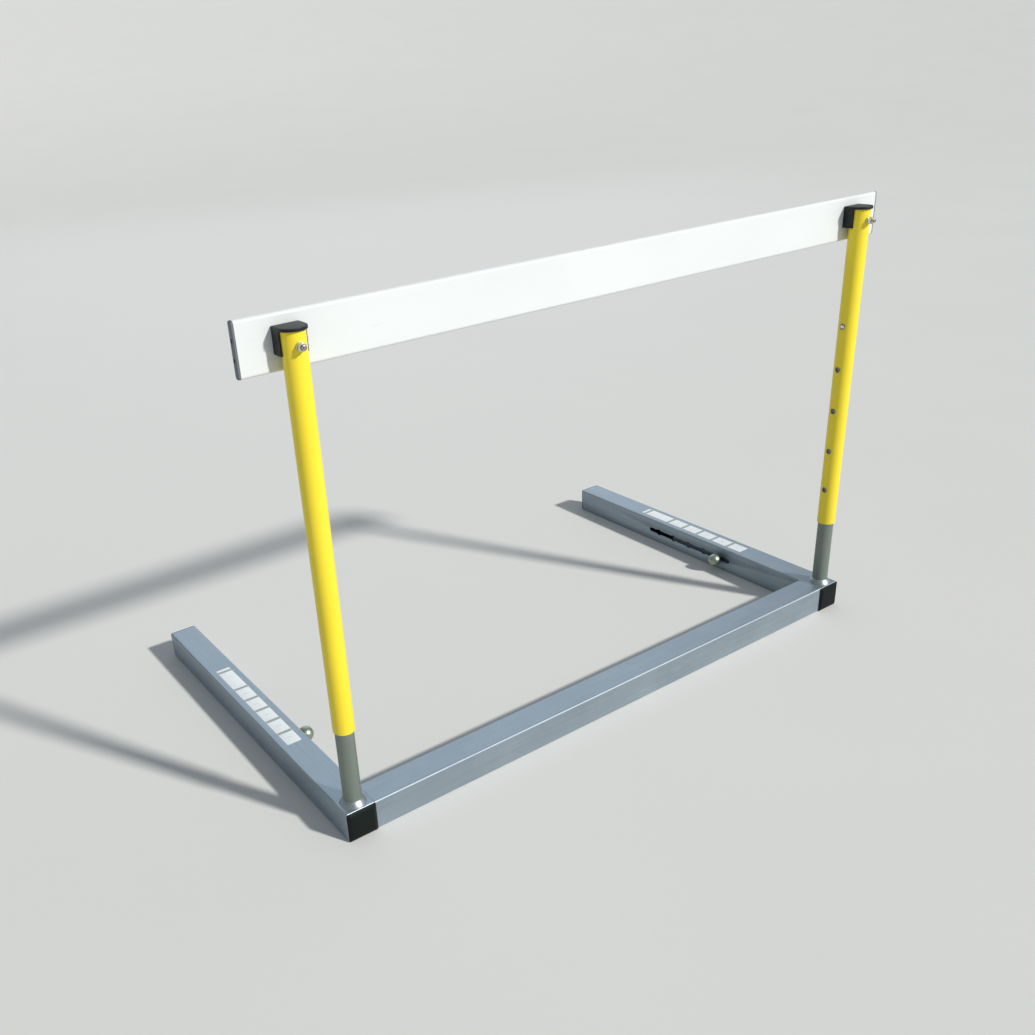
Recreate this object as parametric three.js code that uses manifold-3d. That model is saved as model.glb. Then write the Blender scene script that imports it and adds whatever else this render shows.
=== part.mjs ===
// Track hurdle with a weighted base, telescoping uprights and a white board.
// Millimetres, +Z up. X runs along the board, +Y runs back along the legs, and the
// origin is on the ground under the middle of the hurdle's bounding box.
import * as THREE from "three";
import { mergeVertices } from "three/addons/utils/BufferGeometryUtils.js";
import Module from "manifold-3d";

const wasm = await Module();
wasm.setup();

// Heights
const stepCount = 4; // steps from the lowest setting to the highest, each a hole and a notch on
const heightStep = 76.2; // three inches between settings
const buttonDrop = 211.2; // board's top edge down to the snap button, at the lowest setting
const tubeEndMargin = 68.5; // lowest hole down to the end of an outer tube
const tubeEndRise = 127.5; // top of a leg up to the end of an outer tube, at the lowest setting

// Base frame
const baseTube = 50; // side of the square tube
const baseWall = 2;
const baseInnerCorner = 1; // radius inside the tube's corners
const legLength = 693; // over both end caps
const seatGap = 0.3; // running and seating gap between touching pieces

// Leg end caps
const capFlange = 3.5;
const capFaceBorder = 7; // width of the sloped border round the cap's face
const capFaceRise = 1; // how far the face's middle stands in front of its edge
const capFlangeInset = 0.2; // how far the flange stays inside the tube's outline
const capPlugDepth = 16;
const capPlugWall = 2;
const capPlugInset = 0.9; // plug's skirt to the tube's wall
const capBarbs = 2;
const capBarbWidth = 1.5;
const capBarbSpacing = 5;

// Board
const boardLength = 1190; // over both end caps
const boardHeight = 70;
const boardThickness = 10;
const boardWall = 2;
const boardRib = 2;
const boardCells = 3;
const boardInnerCorner = 2;
const boardOverhang = 67; // axis of an upright out to the end of the board
const boardCapFlange = 3;
const boardCapTongue = 14; // length of the tongues that fill the cells
const boardCapInset = 0.4; // tongue to the cell's wall

// Uprights
const outerTubeDiameter = 32;
const outerTubeWall = 1.5;
const tubeClearance = 0.5; // radial, between the two tubes
const innerTubeWall = 1.5;
const innerTubeTip = 90; // snap button's axis up to the top of an inner tube
const uprightSetback = 25.5; // front of a leg back to the axis of its upright
const weldSize = 5; // height and width of the weld at an inner tube's foot

// Snap buttons in the uprights
const buttonDiameter = 8;
const buttonHoleClearance = 0.5; // radial, button to both tubes' holes
const buttonTipGap = 0.3; // tip of the button to the outer tube's bore
const buttonHeadRim = 1.5; // how far the head is wider than the button
const buttonHeadThickness = 1.4;
const buttonDome = 1.2; // height of the rounded tip
const clipThickness = 0.8; // spring strip behind the button
const clipWidth = 8;
const clipReach = 60; // button down to the start of the strip's bend
const clipOverrun = 9; // strip's length above the button's axis

// Board saddles
const saddleDrop = 14; // board's top edge down to the saddle's top
const saddleHeight = 34;
const saddleCheek = 2.5; // wall beside the tube
const saddleBack = 2.5; // wall between the tube and the board
const saddleTop = 4; // plate over the tube's end
const saddleBevel = 0.6; // rounding of the plate's rim
const saddleCorner = 0.8; // radius where the cheeks meet the back

// Board bolts
const boltDiameter = 6;
const boltHoleClearance = 0.5; // radial
const boltHeadDiameter = 15;
const boltHeadHeight = 3.6;
const boltNeckDepth = 4; // square neck that stops the bolt turning
const boltProud = 6; // bolt's end beyond the nut
const boltDrop = 1; // board's middle down to its bolts
const nutAcrossFlats = 10;
const nutSides = 6;
const nutHeight = 5;
const nutChamfer = 0.7;
const washerDiameter = 12;
const washerThickness = 1.6;

// Counterweights and their slots
const knobHome = 255.5; // front of a leg back to the knob, at the lowest setting
const notchPitch = 44; // knob's step from one setting to the next
const notchDiameter = 14;
const slotEndRoom = 28; // slot's length beyond the first and the last notch
const weightLength = 165;
const weightFrontReach = 30; // knob's axis forward to the weight's front end
const weightSideGap = 1; // each side of the weight to the tube's wall
const weightHeadroom = 6; // weight's top to the tube's upper wall
const weightChamfer = 2.5;
const weightLip = 6; // steel between the leg's slotted wall and the spring

// Plungers, knobs and plunger springs
const stemDiameter = 6;
const stemSlotClearance = 1.5; // stem to each edge of the slot
const stemBoreClearance = 0.4; // radial, stem to the weight and to the knob
const collarThickness = 2.5;
const collarClearance = 1; // radial, collar to a notch
const stemHeadThickness = 3;
const headBoreClearance = 0.5; // radial, stem's head and spring to the counterbore
const counterboreDiameter = 12;
const knobDiameter = 26;
const knobFlatShare = 0.88; // share of the knob's radius from its centre to its flat foot
const knobBoreDepth = 10;
const springWire = 1.2;
const springLength = 14;
const springTurns = 5;
const springSideClearance = 0.4; // radial, wire to the counterbore

// Facets
const tubeSides = 32;
const boltSides = 20;
const cornerSteps = 4;
const capFaceSides = 4;
const springStepsPerTurn = 8;
const springSides = 5;
const overrun = 2; // how far every cutter runs past what it cuts
const mergeDistance = 0.001;
const quarterTurn = Math.PI / 2;

// Worked-out sizes
const notchSpan = stepCount * notchPitch;
const holeSpan = stepCount * heightStep;
const boardTop = baseTube + tubeEndRise + tubeEndMargin + holeSpan + buttonDrop; // 762 at rest
const uprightX = boardLength / 2 - boardOverhang;
const innerBase = baseTube - 2 * baseWall;
const outerBore = outerTubeDiameter / 2 - outerTubeWall;
const innerTubeRadius = outerBore - tubeClearance;
const innerBore = innerTubeRadius - innerTubeWall;
const buttonZ = boardTop - buttonDrop;
const boardZ = boardTop - boardHeight / 2;
const boltZ = boardZ - boltDrop;
const boltRadius = boltDiameter / 2;
const outerTubeBottom = baseTube + tubeEndRise;
const saddleTopZ = boardTop - saddleDrop;
const outerTubeTop = saddleTopZ - saddleTop - seatGap;
const saddleHalfWidth = outerTubeDiameter / 2 + seatGap + saddleCheek;
const boardFrontY = uprightSetback + outerTubeDiameter / 2 + saddleBack + 2 * seatGap;
const washerBackY = uprightSetback - outerTubeDiameter / 2 - seatGap;
const nutBackY = washerBackY - washerThickness - seatGap;
const boltFrontY = nutBackY - nutHeight - boltProud;
const stemZ = baseTube / 2;
const collarRadius = notchDiameter / 2 - collarClearance;
const stemRadius = stemDiameter / 2;
const buttonRadius = buttonDiameter / 2;
const counterboreRadius = counterboreDiameter / 2;

// Colours and finishes
const finishes = {
  zinc: { color: 0x93a1ad, roughness: 0.38, metalness: 0.9 },
  tube: { color: 0x7f8a88, roughness: 0.45, metalness: 0.8 },
  yellow: { color: 0xf5df1f, roughness: 0.35, metalness: 0 },
  white: { color: 0xf4f6f6, roughness: 0.4, metalness: 0 },
  slate: { color: 0x4b545c, roughness: 0.6, metalness: 0 },
  black: { color: 0x1a1f22, roughness: 0.5, metalness: 0 },
  bright: { color: 0xd5d9dc, roughness: 0.15, metalness: 1 },
  weight: { color: 0x4d6079, roughness: 0.55, metalness: 0.7 },
  spring: { color: 0x8e9296, roughness: 0.3, metalness: 1 },
};

const hurdle = new THREE.Group();

// Adds one named piece to the hurdle
function addPiece(name, geometry, finish) {
  const mesh = new THREE.Mesh(geometry, new THREE.MeshStandardMaterial(finishes[finish]));
  mesh.name = name;
  hurdle.add(mesh);
}

// Turns a closed geometry into a solid that can be cut and joined
function toSolid(geometry) {
  const bare = geometry.clone();
  bare.deleteAttribute("normal");
  bare.deleteAttribute("uv");
  const merged = mergeVertices(bare, mergeDistance);
  const vertProperties = merged.attributes.position.array;
  const triVerts = new Uint32Array(merged.index.array);
  return new wasm.Manifold(new wasm.Mesh({ numProp: 3, vertProperties, triVerts }));
}

// Turns a solid back into a geometry
function toGeometry(solid) {
  const { vertProperties, triVerts } = solid.getMesh();
  const geometry = new THREE.BufferGeometry();
  geometry.setAttribute("position", new THREE.BufferAttribute(vertProperties, 3));
  geometry.setIndex(new THREE.BufferAttribute(triVerts, 1));
  geometry.computeVertexNormals();
  return geometry;
}

// Cuts the tools out of a geometry
function cut(geometry, tools) {
  return toGeometry(tools.reduce((solid, tool) => solid.subtract(toSolid(tool)), toSolid(geometry)));
}

// Joins geometries into one
function join(geometries) {
  const [first, ...rest] = geometries.map(toSolid);
  return toGeometry(rest.reduce((solid, other) => solid.add(other), first));
}

// Points along an arc, ends included
function arcPoints(x, y, radius, from, to, steps) {
  const points = [];
  for (let step = 0; step <= steps; step++) {
    const angle = from + ((to - from) * step) / steps;
    points.push(new THREE.Vector2(x + radius * Math.cos(angle), y + radius * Math.sin(angle)));
  }
  return points;
}

// Outline of a rectangle with round corners, about its own centre or about (x, y)
function roundedRectangle(width, height, radius, x = 0, y = 0) {
  const corners = [[1, 1], [-1, 1], [-1, -1], [1, -1]];
  return corners.flatMap(([right, up], corner) => arcPoints(
    x + right * (width / 2 - radius),
    y + up * (height / 2 - radius),
    radius,
    corner * quarterTurn,
    (corner + 1) * quarterTurn,
    cornerSteps,
  ));
}

// Outline of a rectangle with flat corners, about its own centre
function chamferedRectangle(width, height, chamfer) {
  const corners = [[1, 1], [-1, 1], [-1, -1], [1, -1]];
  return corners.flatMap(([right, up]) => {
    const beside = new THREE.Vector2((right * width) / 2, up * (height / 2 - chamfer));
    const above = new THREE.Vector2(right * (width / 2 - chamfer), (up * height) / 2);
    return right === up ? [beside, above] : [above, beside];
  });
}

// Shape from an outline and the outlines of its holes
function shapeOf(outline, holes = []) {
  const shape = new THREE.Shape(outline);
  shape.holes = holes.map((hole) => new THREE.Path(hole));
  return shape;
}

// Prism that starts at zero and runs up: the shape's axes are X and Y
function prismUp(shape, depth) {
  return new THREE.ExtrudeGeometry(shape, { depth, bevelEnabled: false });
}

// Prism that starts at zero and runs back: the shape's axes are X and Z
function prismBack(shape, depth) {
  return prismUp(shape, depth).rotateX(quarterTurn).translate(0, depth, 0);
}

// Prism that starts at zero and runs along +X: the shape's axes are Y and Z
function prismAcross(shape, depth) {
  return prismUp(shape, depth).rotateX(quarterTurn).rotateZ(quarterTurn);
}

// Solid of revolution. The profile holds [radius, height] pairs, going up on its outer side
function turned(profile, axis, sides) {
  const points = profile.map(([radius, height]) => new THREE.Vector2(radius, height));
  const geometry = new THREE.LatheGeometry(points, sides);
  return pointAlong(geometry, axis);
}

// Cylinder about the origin
function rod(radius, length, axis, sides = boltSides) {
  return pointAlong(new THREE.CylinderGeometry(radius, radius, length, sides), axis);
}

// Turns a geometry from +Y to another axis
function pointAlong(geometry, axis) {
  if (axis === "x") return geometry.rotateZ(-quarterTurn);
  if (axis === "z") return geometry.rotateX(quarterTurn);
  return geometry;
}

// Length of tube or rod as a closed ring profile
function ringProfile(inner, outer, length) {
  return [[inner, 0], [outer, 0], [outer, length], [inner, length], [inner, 0]];
}

// Where the pieces of one side stand: side is -1 on the left and 1 on the right.
// The inner face of a leg looks at the other leg, and depth is counted from it into the leg
function atSide(side) {
  const innerFace = uprightX - baseTube / 2;
  return {
    name: side < 0 ? "left" : "right",
    legX: side * uprightX,
    faceX: (depth) => side * (innerFace + depth),
  };
}

// Square-tube leg with the notched slot in its inner wall
function legGeometry(side) {
  const { faceX } = atSide(side);
  const outline = roundedRectangle(baseTube, baseTube, baseInnerCorner + baseWall);
  const bore = roundedRectangle(innerBase, innerBase, baseInnerCorner);
  const tubeFront = capFlange + seatGap;
  const tube = prismBack(shapeOf(outline, [bore]), legLength - 2 * tubeFront);
  tube.translate(side * uprightX, tubeFront, baseTube / 2);
  return cut(tube, [slotCutter().translate(faceX(baseWall / 2), 0, 0)]);
}

// Slot with round notches, one for each height, as wide as the wall is thick and more
function slotCutter() {
  const slotRadius = stemRadius + stemSlotClearance;
  const slotLength = notchSpan + 2 * slotEndRoom;
  const slotOutline = roundedRectangle(slotLength, 2 * slotRadius, slotRadius);
  const depth = baseWall + overrun;
  const slot = prismAcross(shapeOf(slotOutline), depth);
  slot.translate(-depth / 2, knobHome + notchSpan / 2, stemZ);
  const notches = Array.from({ length: stepCount + 1 }, (_, step) =>
    rod(notchDiameter / 2, depth, "x").translate(0, knobHome + step * notchPitch, stemZ));
  return join([slot, ...notches]);
}

// Beam between the legs, flush with their front ends
function crossBeamGeometry() {
  const outline = roundedRectangle(baseTube, baseTube, baseInnerCorner + baseWall);
  const bore = roundedRectangle(innerBase, innerBase, baseInnerCorner);
  const halfLength = uprightX - baseTube / 2 - seatGap;
  const beam = prismAcross(shapeOf(outline, [bore]), 2 * halfLength);
  return beam.translate(-halfLength, capFlange + seatGap + baseTube / 2, baseTube / 2);
}

// Flange of a leg's cap, its face sloped back all round its middle
function capFlangeGeometry() {
  const flangeSide = baseTube - 2 * capFlangeInset;
  const outline = roundedRectangle(flangeSide, flangeSide, baseInnerCorner + baseWall);
  const slope = capFaceBorder / capFaceRise;
  const faceHalf = flangeSide / 2 - capFaceBorder;
  const corners = [faceHalf, faceHalf + slope * capFlange].map((half) => half * Math.SQRT2);
  const cone = new THREE.CylinderGeometry(corners[1], corners[0], capFlange, capFaceSides);
  cone.rotateY(quarterTurn / 2).translate(0, capFlange / 2, 0);
  return toGeometry(toSolid(prismBack(shapeOf(outline), capFlange)).intersect(toSolid(cone)));
}

// Plastic plug cap with a flange, a hollow skirt and barbs that grip the tube.
// Built with its flange at zero and its plug running back
function legCapGeometry() {
  const skirtSide = innerBase - 2 * capPlugInset;
  const skirtBore = skirtSide - 2 * capPlugWall;
  const skirtHole = roundedRectangle(skirtBore, skirtBore, baseInnerCorner);
  const skirtOutline = roundedRectangle(skirtSide, skirtSide, baseInnerCorner);
  const skirt = prismBack(shapeOf(skirtOutline, [skirtHole]), capFlange + capPlugDepth - capFaceRise);
  skirt.translate(0, capFaceRise, 0);
  const barbSide = innerBase - 2 * seatGap;
  const barbOutline = roundedRectangle(barbSide, barbSide, baseInnerCorner);
  const barbs = Array.from({ length: capBarbs }, (_, barb) =>
    prismBack(shapeOf(barbOutline, [skirtHole]), capBarbWidth)
      .translate(0, capFlange + (barb + 1) * capBarbSpacing, 0));
  return join([capFlangeGeometry(), skirt, ...barbs]);
}

// Inner tube that stands on the leg, with its weld and the snap button's hole
function innerTubeGeometry(side) {
  const foot = baseTube + seatGap;
  const length = buttonZ + innerTubeTip - foot;
  const weldAxis = innerTubeRadius + weldSize;
  const weld = arcPoints(weldAxis, weldSize, weldSize, 3 * quarterTurn, 2 * quarterTurn, cornerSteps)
    .map((point) => [point.x, point.y]);
  const profile = [[innerBore, 0], ...weld, [innerTubeRadius, length], [innerBore, length], [innerBore, 0]];
  const tube = turned(profile, "z", tubeSides).translate(side * uprightX, uprightSetback, foot);
  return cut(tube, [sideHole(side, buttonZ)]);
}

// Cutter for a snap button's hole, in the walls of an upright that face the other upright
function sideHole(side, z) {
  const length = outerTubeDiameter / 2 + overrun;
  const hole = rod(buttonRadius + buttonHoleClearance, length, "x");
  return hole.translate(side * (uprightX - length / 2), uprightSetback, z);
}

// Outer tube with a row of height holes and the board bolt's hole
function outerTubeGeometry(side) {
  const length = outerTubeTop - outerTubeBottom;
  const tube = turned(ringProfile(outerBore, outerTubeDiameter / 2, length), "z", tubeSides);
  tube.translate(side * uprightX, uprightSetback, outerTubeBottom);
  const heightHoles = Array.from({ length: stepCount + 1 }, (_, step) =>
    sideHole(side, buttonZ - step * heightStep));
  const boltHole = rod(boltRadius + boltHoleClearance, outerTubeDiameter + overrun, "y");
  return cut(tube, [...heightHoles, boltHole.translate(side * uprightX, uprightSetback, boltZ)]);
}

// A snap button's head, which bears on the inner tube's bore: its radius, and how far
// its outer and inner faces lie from the upright's axis
function buttonHead() {
  const radius = buttonRadius + buttonHeadRim;
  const outer = Math.sqrt((innerBore - seatGap) ** 2 - radius ** 2);
  return { radius, outer, inner: outer - buttonHeadThickness };
}

// Snap button with a head inside the inner tube and a domed tip in its hole.
// The profile runs outwards from the upright's axis
function snapButtonGeometry(side) {
  const head = buttonHead();
  const tip = outerBore - buttonTipGap;
  const shoulder = tip - buttonDome;
  const dome = arcPoints(0, 0, 1, 0, quarterTurn, cornerSteps)
    .map((point) => [buttonRadius * point.x, shoulder + buttonDome * point.y]);
  dome[dome.length - 1][0] = 0;
  const rim = [[head.radius, head.inner], [head.radius, head.outer]];
  const profile = [[0, head.inner], ...rim, [buttonRadius, head.outer], ...dome];
  const button = turned(profile, "x", boltSides);
  if (side > 0) button.rotateZ(2 * quarterTurn);
  return button.translate(side * uprightX, uprightSetback, buttonZ);
}

// Spring strip bent to a hairpin: one arm carries the button, the other bears on the tube
function buttonClipGeometry(side) {
  const buttonArm = buttonHead().inner - seatGap;
  const wallArm = -Math.sqrt((innerBore - seatGap) ** 2 - (clipWidth / 2) ** 2);
  const middle = (buttonArm + wallArm) / 2;
  const bendRadius = (buttonArm - wallArm) / 2;
  const bendZ = -clipReach;
  const steps = 3 * cornerSteps;
  const outside = arcPoints(middle, bendZ, bendRadius, -2 * quarterTurn, 0, steps);
  const inside = arcPoints(middle, bendZ, bendRadius - clipThickness, 0, -2 * quarterTurn, steps);
  const strip = [
    new THREE.Vector2(wallArm, clipOverrun),
    ...outside,
    new THREE.Vector2(buttonArm, clipOverrun),
    new THREE.Vector2(buttonArm - clipThickness, clipOverrun),
    ...inside,
    new THREE.Vector2(wallArm + clipThickness, clipOverrun),
  ];
  const clip = prismBack(shapeOf(strip), clipWidth).translate(0, -clipWidth / 2, 0);
  if (side > 0) clip.rotateZ(2 * quarterTurn);
  return clip.translate(side * uprightX, uprightSetback, buttonZ);
}

// Steel bar in a leg, with the stepped bore that holds the plunger and its spring
function counterweightGeometry(side) {
  const { faceX, legX } = atSide(side);
  const width = innerBase - 2 * weightSideGap;
  const height = innerBase - seatGap - weightHeadroom;
  const bar = prismBack(shapeOf(chamferedRectangle(width, height, weightChamfer)), weightLength);
  const floor = baseWall + seatGap;
  bar.translate(legX, knobHome - weightFrontReach, floor + height / 2);
  const lipBack = baseWall + weightSideGap + weightLip;
  const farSide = baseTube - baseWall + overrun;
  const stemBore = rod(stemRadius + stemBoreClearance, lipBack + overrun, "x");
  stemBore.translate(faceX((lipBack + overrun) / 2), knobHome, stemZ);
  const counterbore = rod(counterboreRadius, farSide - lipBack, "x");
  counterbore.translate(faceX((farSide + lipBack) / 2), knobHome, stemZ);
  return cut(bar, [stemBore, counterbore]);
}

// Depths into the leg, from its inner face, of what the plunger carries
function plungerDepths() {
  const springFront = baseWall + weightSideGap + weightLip + seatGap;
  const headFront = springFront + springLength + seatGap;
  const collarBack = -seatGap;
  const collarFront = collarBack - collarThickness;
  return { springFront, headFront, collarBack, collarFront, knobFoot: collarFront - seatGap };
}

// Stem with a head behind the spring, a collar that seats in a notch and an end in the knob
function plungerGeometry(side) {
  const { headFront, collarBack, collarFront, knobFoot } = plungerDepths();
  const headRadius = counterboreRadius - headBoreClearance;
  const stemEnd = knobFoot - knobBoreDepth + seatGap;
  const back = headFront + stemHeadThickness;
  const profile = [
    [0, stemEnd],
    [stemRadius, stemEnd],
    [stemRadius, collarFront],
    [collarRadius, collarFront],
    [collarRadius, collarBack],
    [stemRadius, collarBack],
    [stemRadius, headFront],
    [headRadius, headFront],
    [headRadius, back],
    [0, back],
  ];
  return placePlungerPiece(turned(profile, "x", boltSides), side);
}

// Ball knob with a flat foot and a bore for the stem
function knobGeometry(side) {
  const { knobFoot } = plungerDepths();
  const radius = knobDiameter / 2;
  const centre = knobFoot - radius * knobFlatShare;
  const boreRadius = stemRadius + stemBoreClearance;
  const ball = arcPoints(centre, 0, radius, 2 * quarterTurn, Math.acos(knobFlatShare), 3 * cornerSteps)
    .map((point) => [point.y, point.x]);
  ball[0][0] = 0;
  const boreEnd = knobFoot - knobBoreDepth;
  const profile = [...ball, [boreRadius, knobFoot], [boreRadius, boreEnd], [0, boreEnd]];
  return placePlungerPiece(turned(profile, "x", boltSides), side);
}

// Turns a piece built along the depth axis to its side and sets it at the knob's home
function placePlungerPiece(geometry, side) {
  const { faceX } = atSide(side);
  if (side < 0) geometry.rotateZ(2 * quarterTurn);
  return geometry.translate(faceX(0), knobHome, stemZ);
}

// Compression spring round the stem, one unbroken wire with closed ends
function plungerSpringGeometry(side) {
  const { springFront } = plungerDepths();
  const wireRadius = springWire / 2;
  const coilRadius = counterboreRadius - springSideClearance - wireRadius;
  const steps = springTurns * springStepsPerTurn;
  const rise = springLength - springWire;
  const centres = Array.from({ length: steps + 1 }, (_, step) => {
    const angle = (step / springStepsPerTurn) * 4 * quarterTurn;
    const along = springFront + wireRadius + (rise * step) / steps;
    return new THREE.Vector3(along, coilRadius * Math.cos(angle), coilRadius * Math.sin(angle));
  });
  reportLeastGap(`${atSide(side).name} plunger spring`, centres);
  return placePlungerPiece(wireGeometry(centres, wireRadius), side);
}

// Tube through the points of a coil about the X axis, with flat ends
function wireGeometry(centres, radius) {
  const positions = [];
  const index = [];
  centres.forEach((centre) => {
    const outward = new THREE.Vector3(0, centre.y, centre.z).normalize();
    for (let corner = 0; corner < springSides; corner++) {
      const angle = (corner / springSides) * 4 * quarterTurn;
      const point = centre.clone().addScaledVector(outward, radius * Math.cos(angle));
      point.x += radius * Math.sin(angle);
      positions.push(point.x, point.y, point.z);
    }
  });
  for (let ring = 0; ring + 1 < centres.length; ring++) {
    for (let corner = 0; corner < springSides; corner++) {
      const next = (corner + 1) % springSides;
      const [a, b] = [ring * springSides + corner, ring * springSides + next];
      index.push(a, b + springSides, b, a, a + springSides, b + springSides);
    }
  }
  const last = (centres.length - 1) * springSides;
  for (let corner = 1; corner + 1 < springSides; corner++) {
    index.push(0, corner, corner + 1, last, last + corner + 1, last + corner);
  }
  const geometry = new THREE.BufferGeometry();
  geometry.setAttribute("position", new THREE.Float32BufferAttribute(positions, 3));
  geometry.setIndex(index);
  geometry.computeVertexNormals();
  return geometry;
}

// Prints the least clear gap between neighbouring turns of a coil
function reportLeastGap(name, centres) {
  let least = Infinity;
  centres.forEach((centre, first) => {
    for (let second = first + springStepsPerTurn / 2; second < centres.length; second++) {
      least = Math.min(least, centre.distanceTo(centres[second]) - springWire);
    }
  });
  console.log(`${name}: least gap to itself ${least.toFixed(2)} mm`);
}

// Plan outline of a saddle: round about the tube, flat towards the board
function saddleOutline() {
  const corner = saddleCorner;
  const back = outerTubeDiameter / 2 + seatGap + saddleBack - corner;
  const reach = saddleHalfWidth - corner;
  return [
    ...arcPoints(0, 0, saddleHalfWidth, -2 * quarterTurn, 0, 4 * cornerSteps),
    ...arcPoints(reach, back, corner, 0, quarterTurn, cornerSteps),
    ...arcPoints(-reach, back, corner, quarterTurn, 2 * quarterTurn, cornerSteps),
  ];
}

// Plastic saddle: a plate over the tube's end, and cheeks that hug the tube's rear half
function saddleGeometry(side) {
  const outline = saddleOutline();
  const body = prismUp(shapeOf(outline), saddleHeight - saddleBevel);
  const inset = { depth: saddleTop - 2 * saddleBevel, bevelEnabled: true, bevelSegments: 2 };
  const rim = { ...inset, bevelSize: saddleBevel, bevelThickness: saddleBevel, bevelOffset: -saddleBevel };
  const plate = new THREE.ExtrudeGeometry(shapeOf(outline), rim);
  plate.translate(0, 0, saddleHeight - saddleTop + saddleBevel);
  const skirt = saddleHeight - saddleTop;
  const tubeRoom = rod(outerTubeDiameter / 2 + seatGap, skirt, "z", tubeSides).translate(0, 0, skirt / 2);
  const frontSide = 2 * (saddleHalfWidth + overrun);
  const front = new THREE.BoxGeometry(frontSide, saddleHalfWidth + overrun, skirt);
  front.translate(0, -(saddleHalfWidth + overrun) / 2, skirt / 2);
  const boltHole = rod(boltRadius + boltHoleClearance, frontSide, "y");
  boltHole.translate(0, frontSide / 2, boltZ - saddleTopZ + saddleHeight);
  const saddle = cut(join([body, plate]), [tubeRoom, front, boltHole]);
  return saddle.translate(side * uprightX, uprightSetback, saddleTopZ - saddleHeight);
}

// Height of one cell of the board
function cellHeight() {
  return (boardHeight - 2 * boardWall - (boardCells - 1) * boardRib) / boardCells;
}

// Heights of the cells' centres above the board's own centre
function cellCentres() {
  const pitch = cellHeight() + boardRib;
  return Array.from({ length: boardCells }, (_, cell) => (cell - (boardCells - 1) / 2) * pitch);
}

// Board: a hollow extrusion with ribs between its cells and holes for the two bolts
function boardGeometry() {
  const outline = roundedRectangle(boardThickness, boardHeight, boardInnerCorner + boardWall);
  const cellDepth = boardThickness - 2 * boardWall;
  const cells = cellCentres().map((z) => roundedRectangle(cellDepth, cellHeight(), boardInnerCorner, 0, z));
  const length = boardLength - 2 * (boardCapFlange + seatGap);
  const board = prismAcross(shapeOf(outline, cells), length);
  board.translate(-length / 2, boardFrontY + boardThickness / 2, boardZ);
  const neckSide = boltDiameter + 2 * boltHoleClearance;
  const cutters = [-1, 1].flatMap((side) => {
    const hole = rod(boltRadius + boltHoleClearance, boardThickness + overrun, "y");
    hole.translate(side * uprightX, boardFrontY + boardThickness / 2, boltZ);
    const neckHole = new THREE.BoxGeometry(neckSide, boardWall + overrun, neckSide);
    neckHole.translate(side * uprightX, boardFrontY + boardThickness - (boardWall - overrun) / 2, boltZ);
    return [hole, neckHole];
  });
  return cut(board, cutters);
}

// End cap of the board, with a tongue for each cell
function boardCapGeometry(side) {
  const outline = roundedRectangle(boardThickness, boardHeight, boardInnerCorner + boardWall);
  const flange = prismAcross(shapeOf(outline), boardCapFlange);
  const tongueDepth = boardThickness - 2 * (boardWall + boardCapInset);
  const tongueHeight = cellHeight() - 2 * boardCapInset;
  const tongues = cellCentres().map((z) => {
    const tongue = roundedRectangle(tongueDepth, tongueHeight, boardInnerCorner, 0, z);
    return prismAcross(shapeOf(tongue), boardCapFlange + boardCapTongue);
  });
  const cap = join([flange, ...tongues]);
  if (side > 0) cap.rotateZ(2 * quarterTurn);
  return cap.translate(side * boardLength / 2, boardFrontY + boardThickness / 2, boardZ);
}

// Carriage bolt through board, saddle and tube, its domed head behind the board
function boltGeometry(side) {
  const headY = boardFrontY + boardThickness + seatGap;
  const headRadius = boltHeadDiameter / 2;
  const dome = arcPoints(0, 0, 1, 0, quarterTurn, 2 * cornerSteps)
    .map((point) => [headRadius * point.x, headY + boltHeadHeight * point.y]);
  dome[dome.length - 1][0] = 0;
  const front = [[0, boltFrontY], [boltRadius, boltFrontY], [boltRadius, headY]];
  const shank = turned([...front, ...dome], "y", boltSides);
  const neck = new THREE.BoxGeometry(boltDiameter, boltNeckDepth + boltHeadHeight / 2, boltDiameter);
  neck.translate(0, headY - boltNeckDepth / 2 + boltHeadHeight / 4, 0);
  return join([shank, neck]).translate(side * uprightX, 0, boltZ);
}

// Hexagon nut with chamfered corners, on the front of the tube
function nutGeometry(side) {
  const cornerRadius = nutAcrossFlats / 2 / Math.cos(Math.PI / nutSides);
  const hexagon = rod(cornerRadius, nutHeight, "y", nutSides);
  const barrel = turned([
    [0, -nutHeight / 2],
    [cornerRadius - nutChamfer, -nutHeight / 2],
    [cornerRadius, -nutHeight / 2 + nutChamfer],
    [cornerRadius, nutHeight / 2 - nutChamfer],
    [cornerRadius - nutChamfer, nutHeight / 2],
    [0, nutHeight / 2],
  ], "y", tubeSides);
  const bore = rod(boltRadius + seatGap, nutHeight + overrun, "y");
  const nut = toSolid(hexagon).intersect(toSolid(barrel)).subtract(toSolid(bore));
  return toGeometry(nut).translate(side * uprightX, nutBackY - nutHeight / 2, boltZ);
}

// Flat washer between nut and tube
function washerGeometry(side) {
  const profile = ringProfile(boltRadius + seatGap, washerDiameter / 2, washerThickness);
  const washer = turned(profile, "y", boltSides);
  return washer.translate(side * uprightX, washerBackY - washerThickness, boltZ);
}

// One leg with its two end caps
function addLeg(side) {
  const { name, legX } = atSide(side);
  addPiece(`${name}_leg`, legGeometry(side), "zinc");
  const frontCap = legCapGeometry().translate(legX, 0, baseTube / 2);
  addPiece(`${name}_front_leg_cap`, frontCap, "black");
  const rearCap = legCapGeometry().rotateZ(2 * quarterTurn).translate(legX, legLength, baseTube / 2);
  addPiece(`${name}_rear_leg_cap`, rearCap, "black");
}

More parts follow.
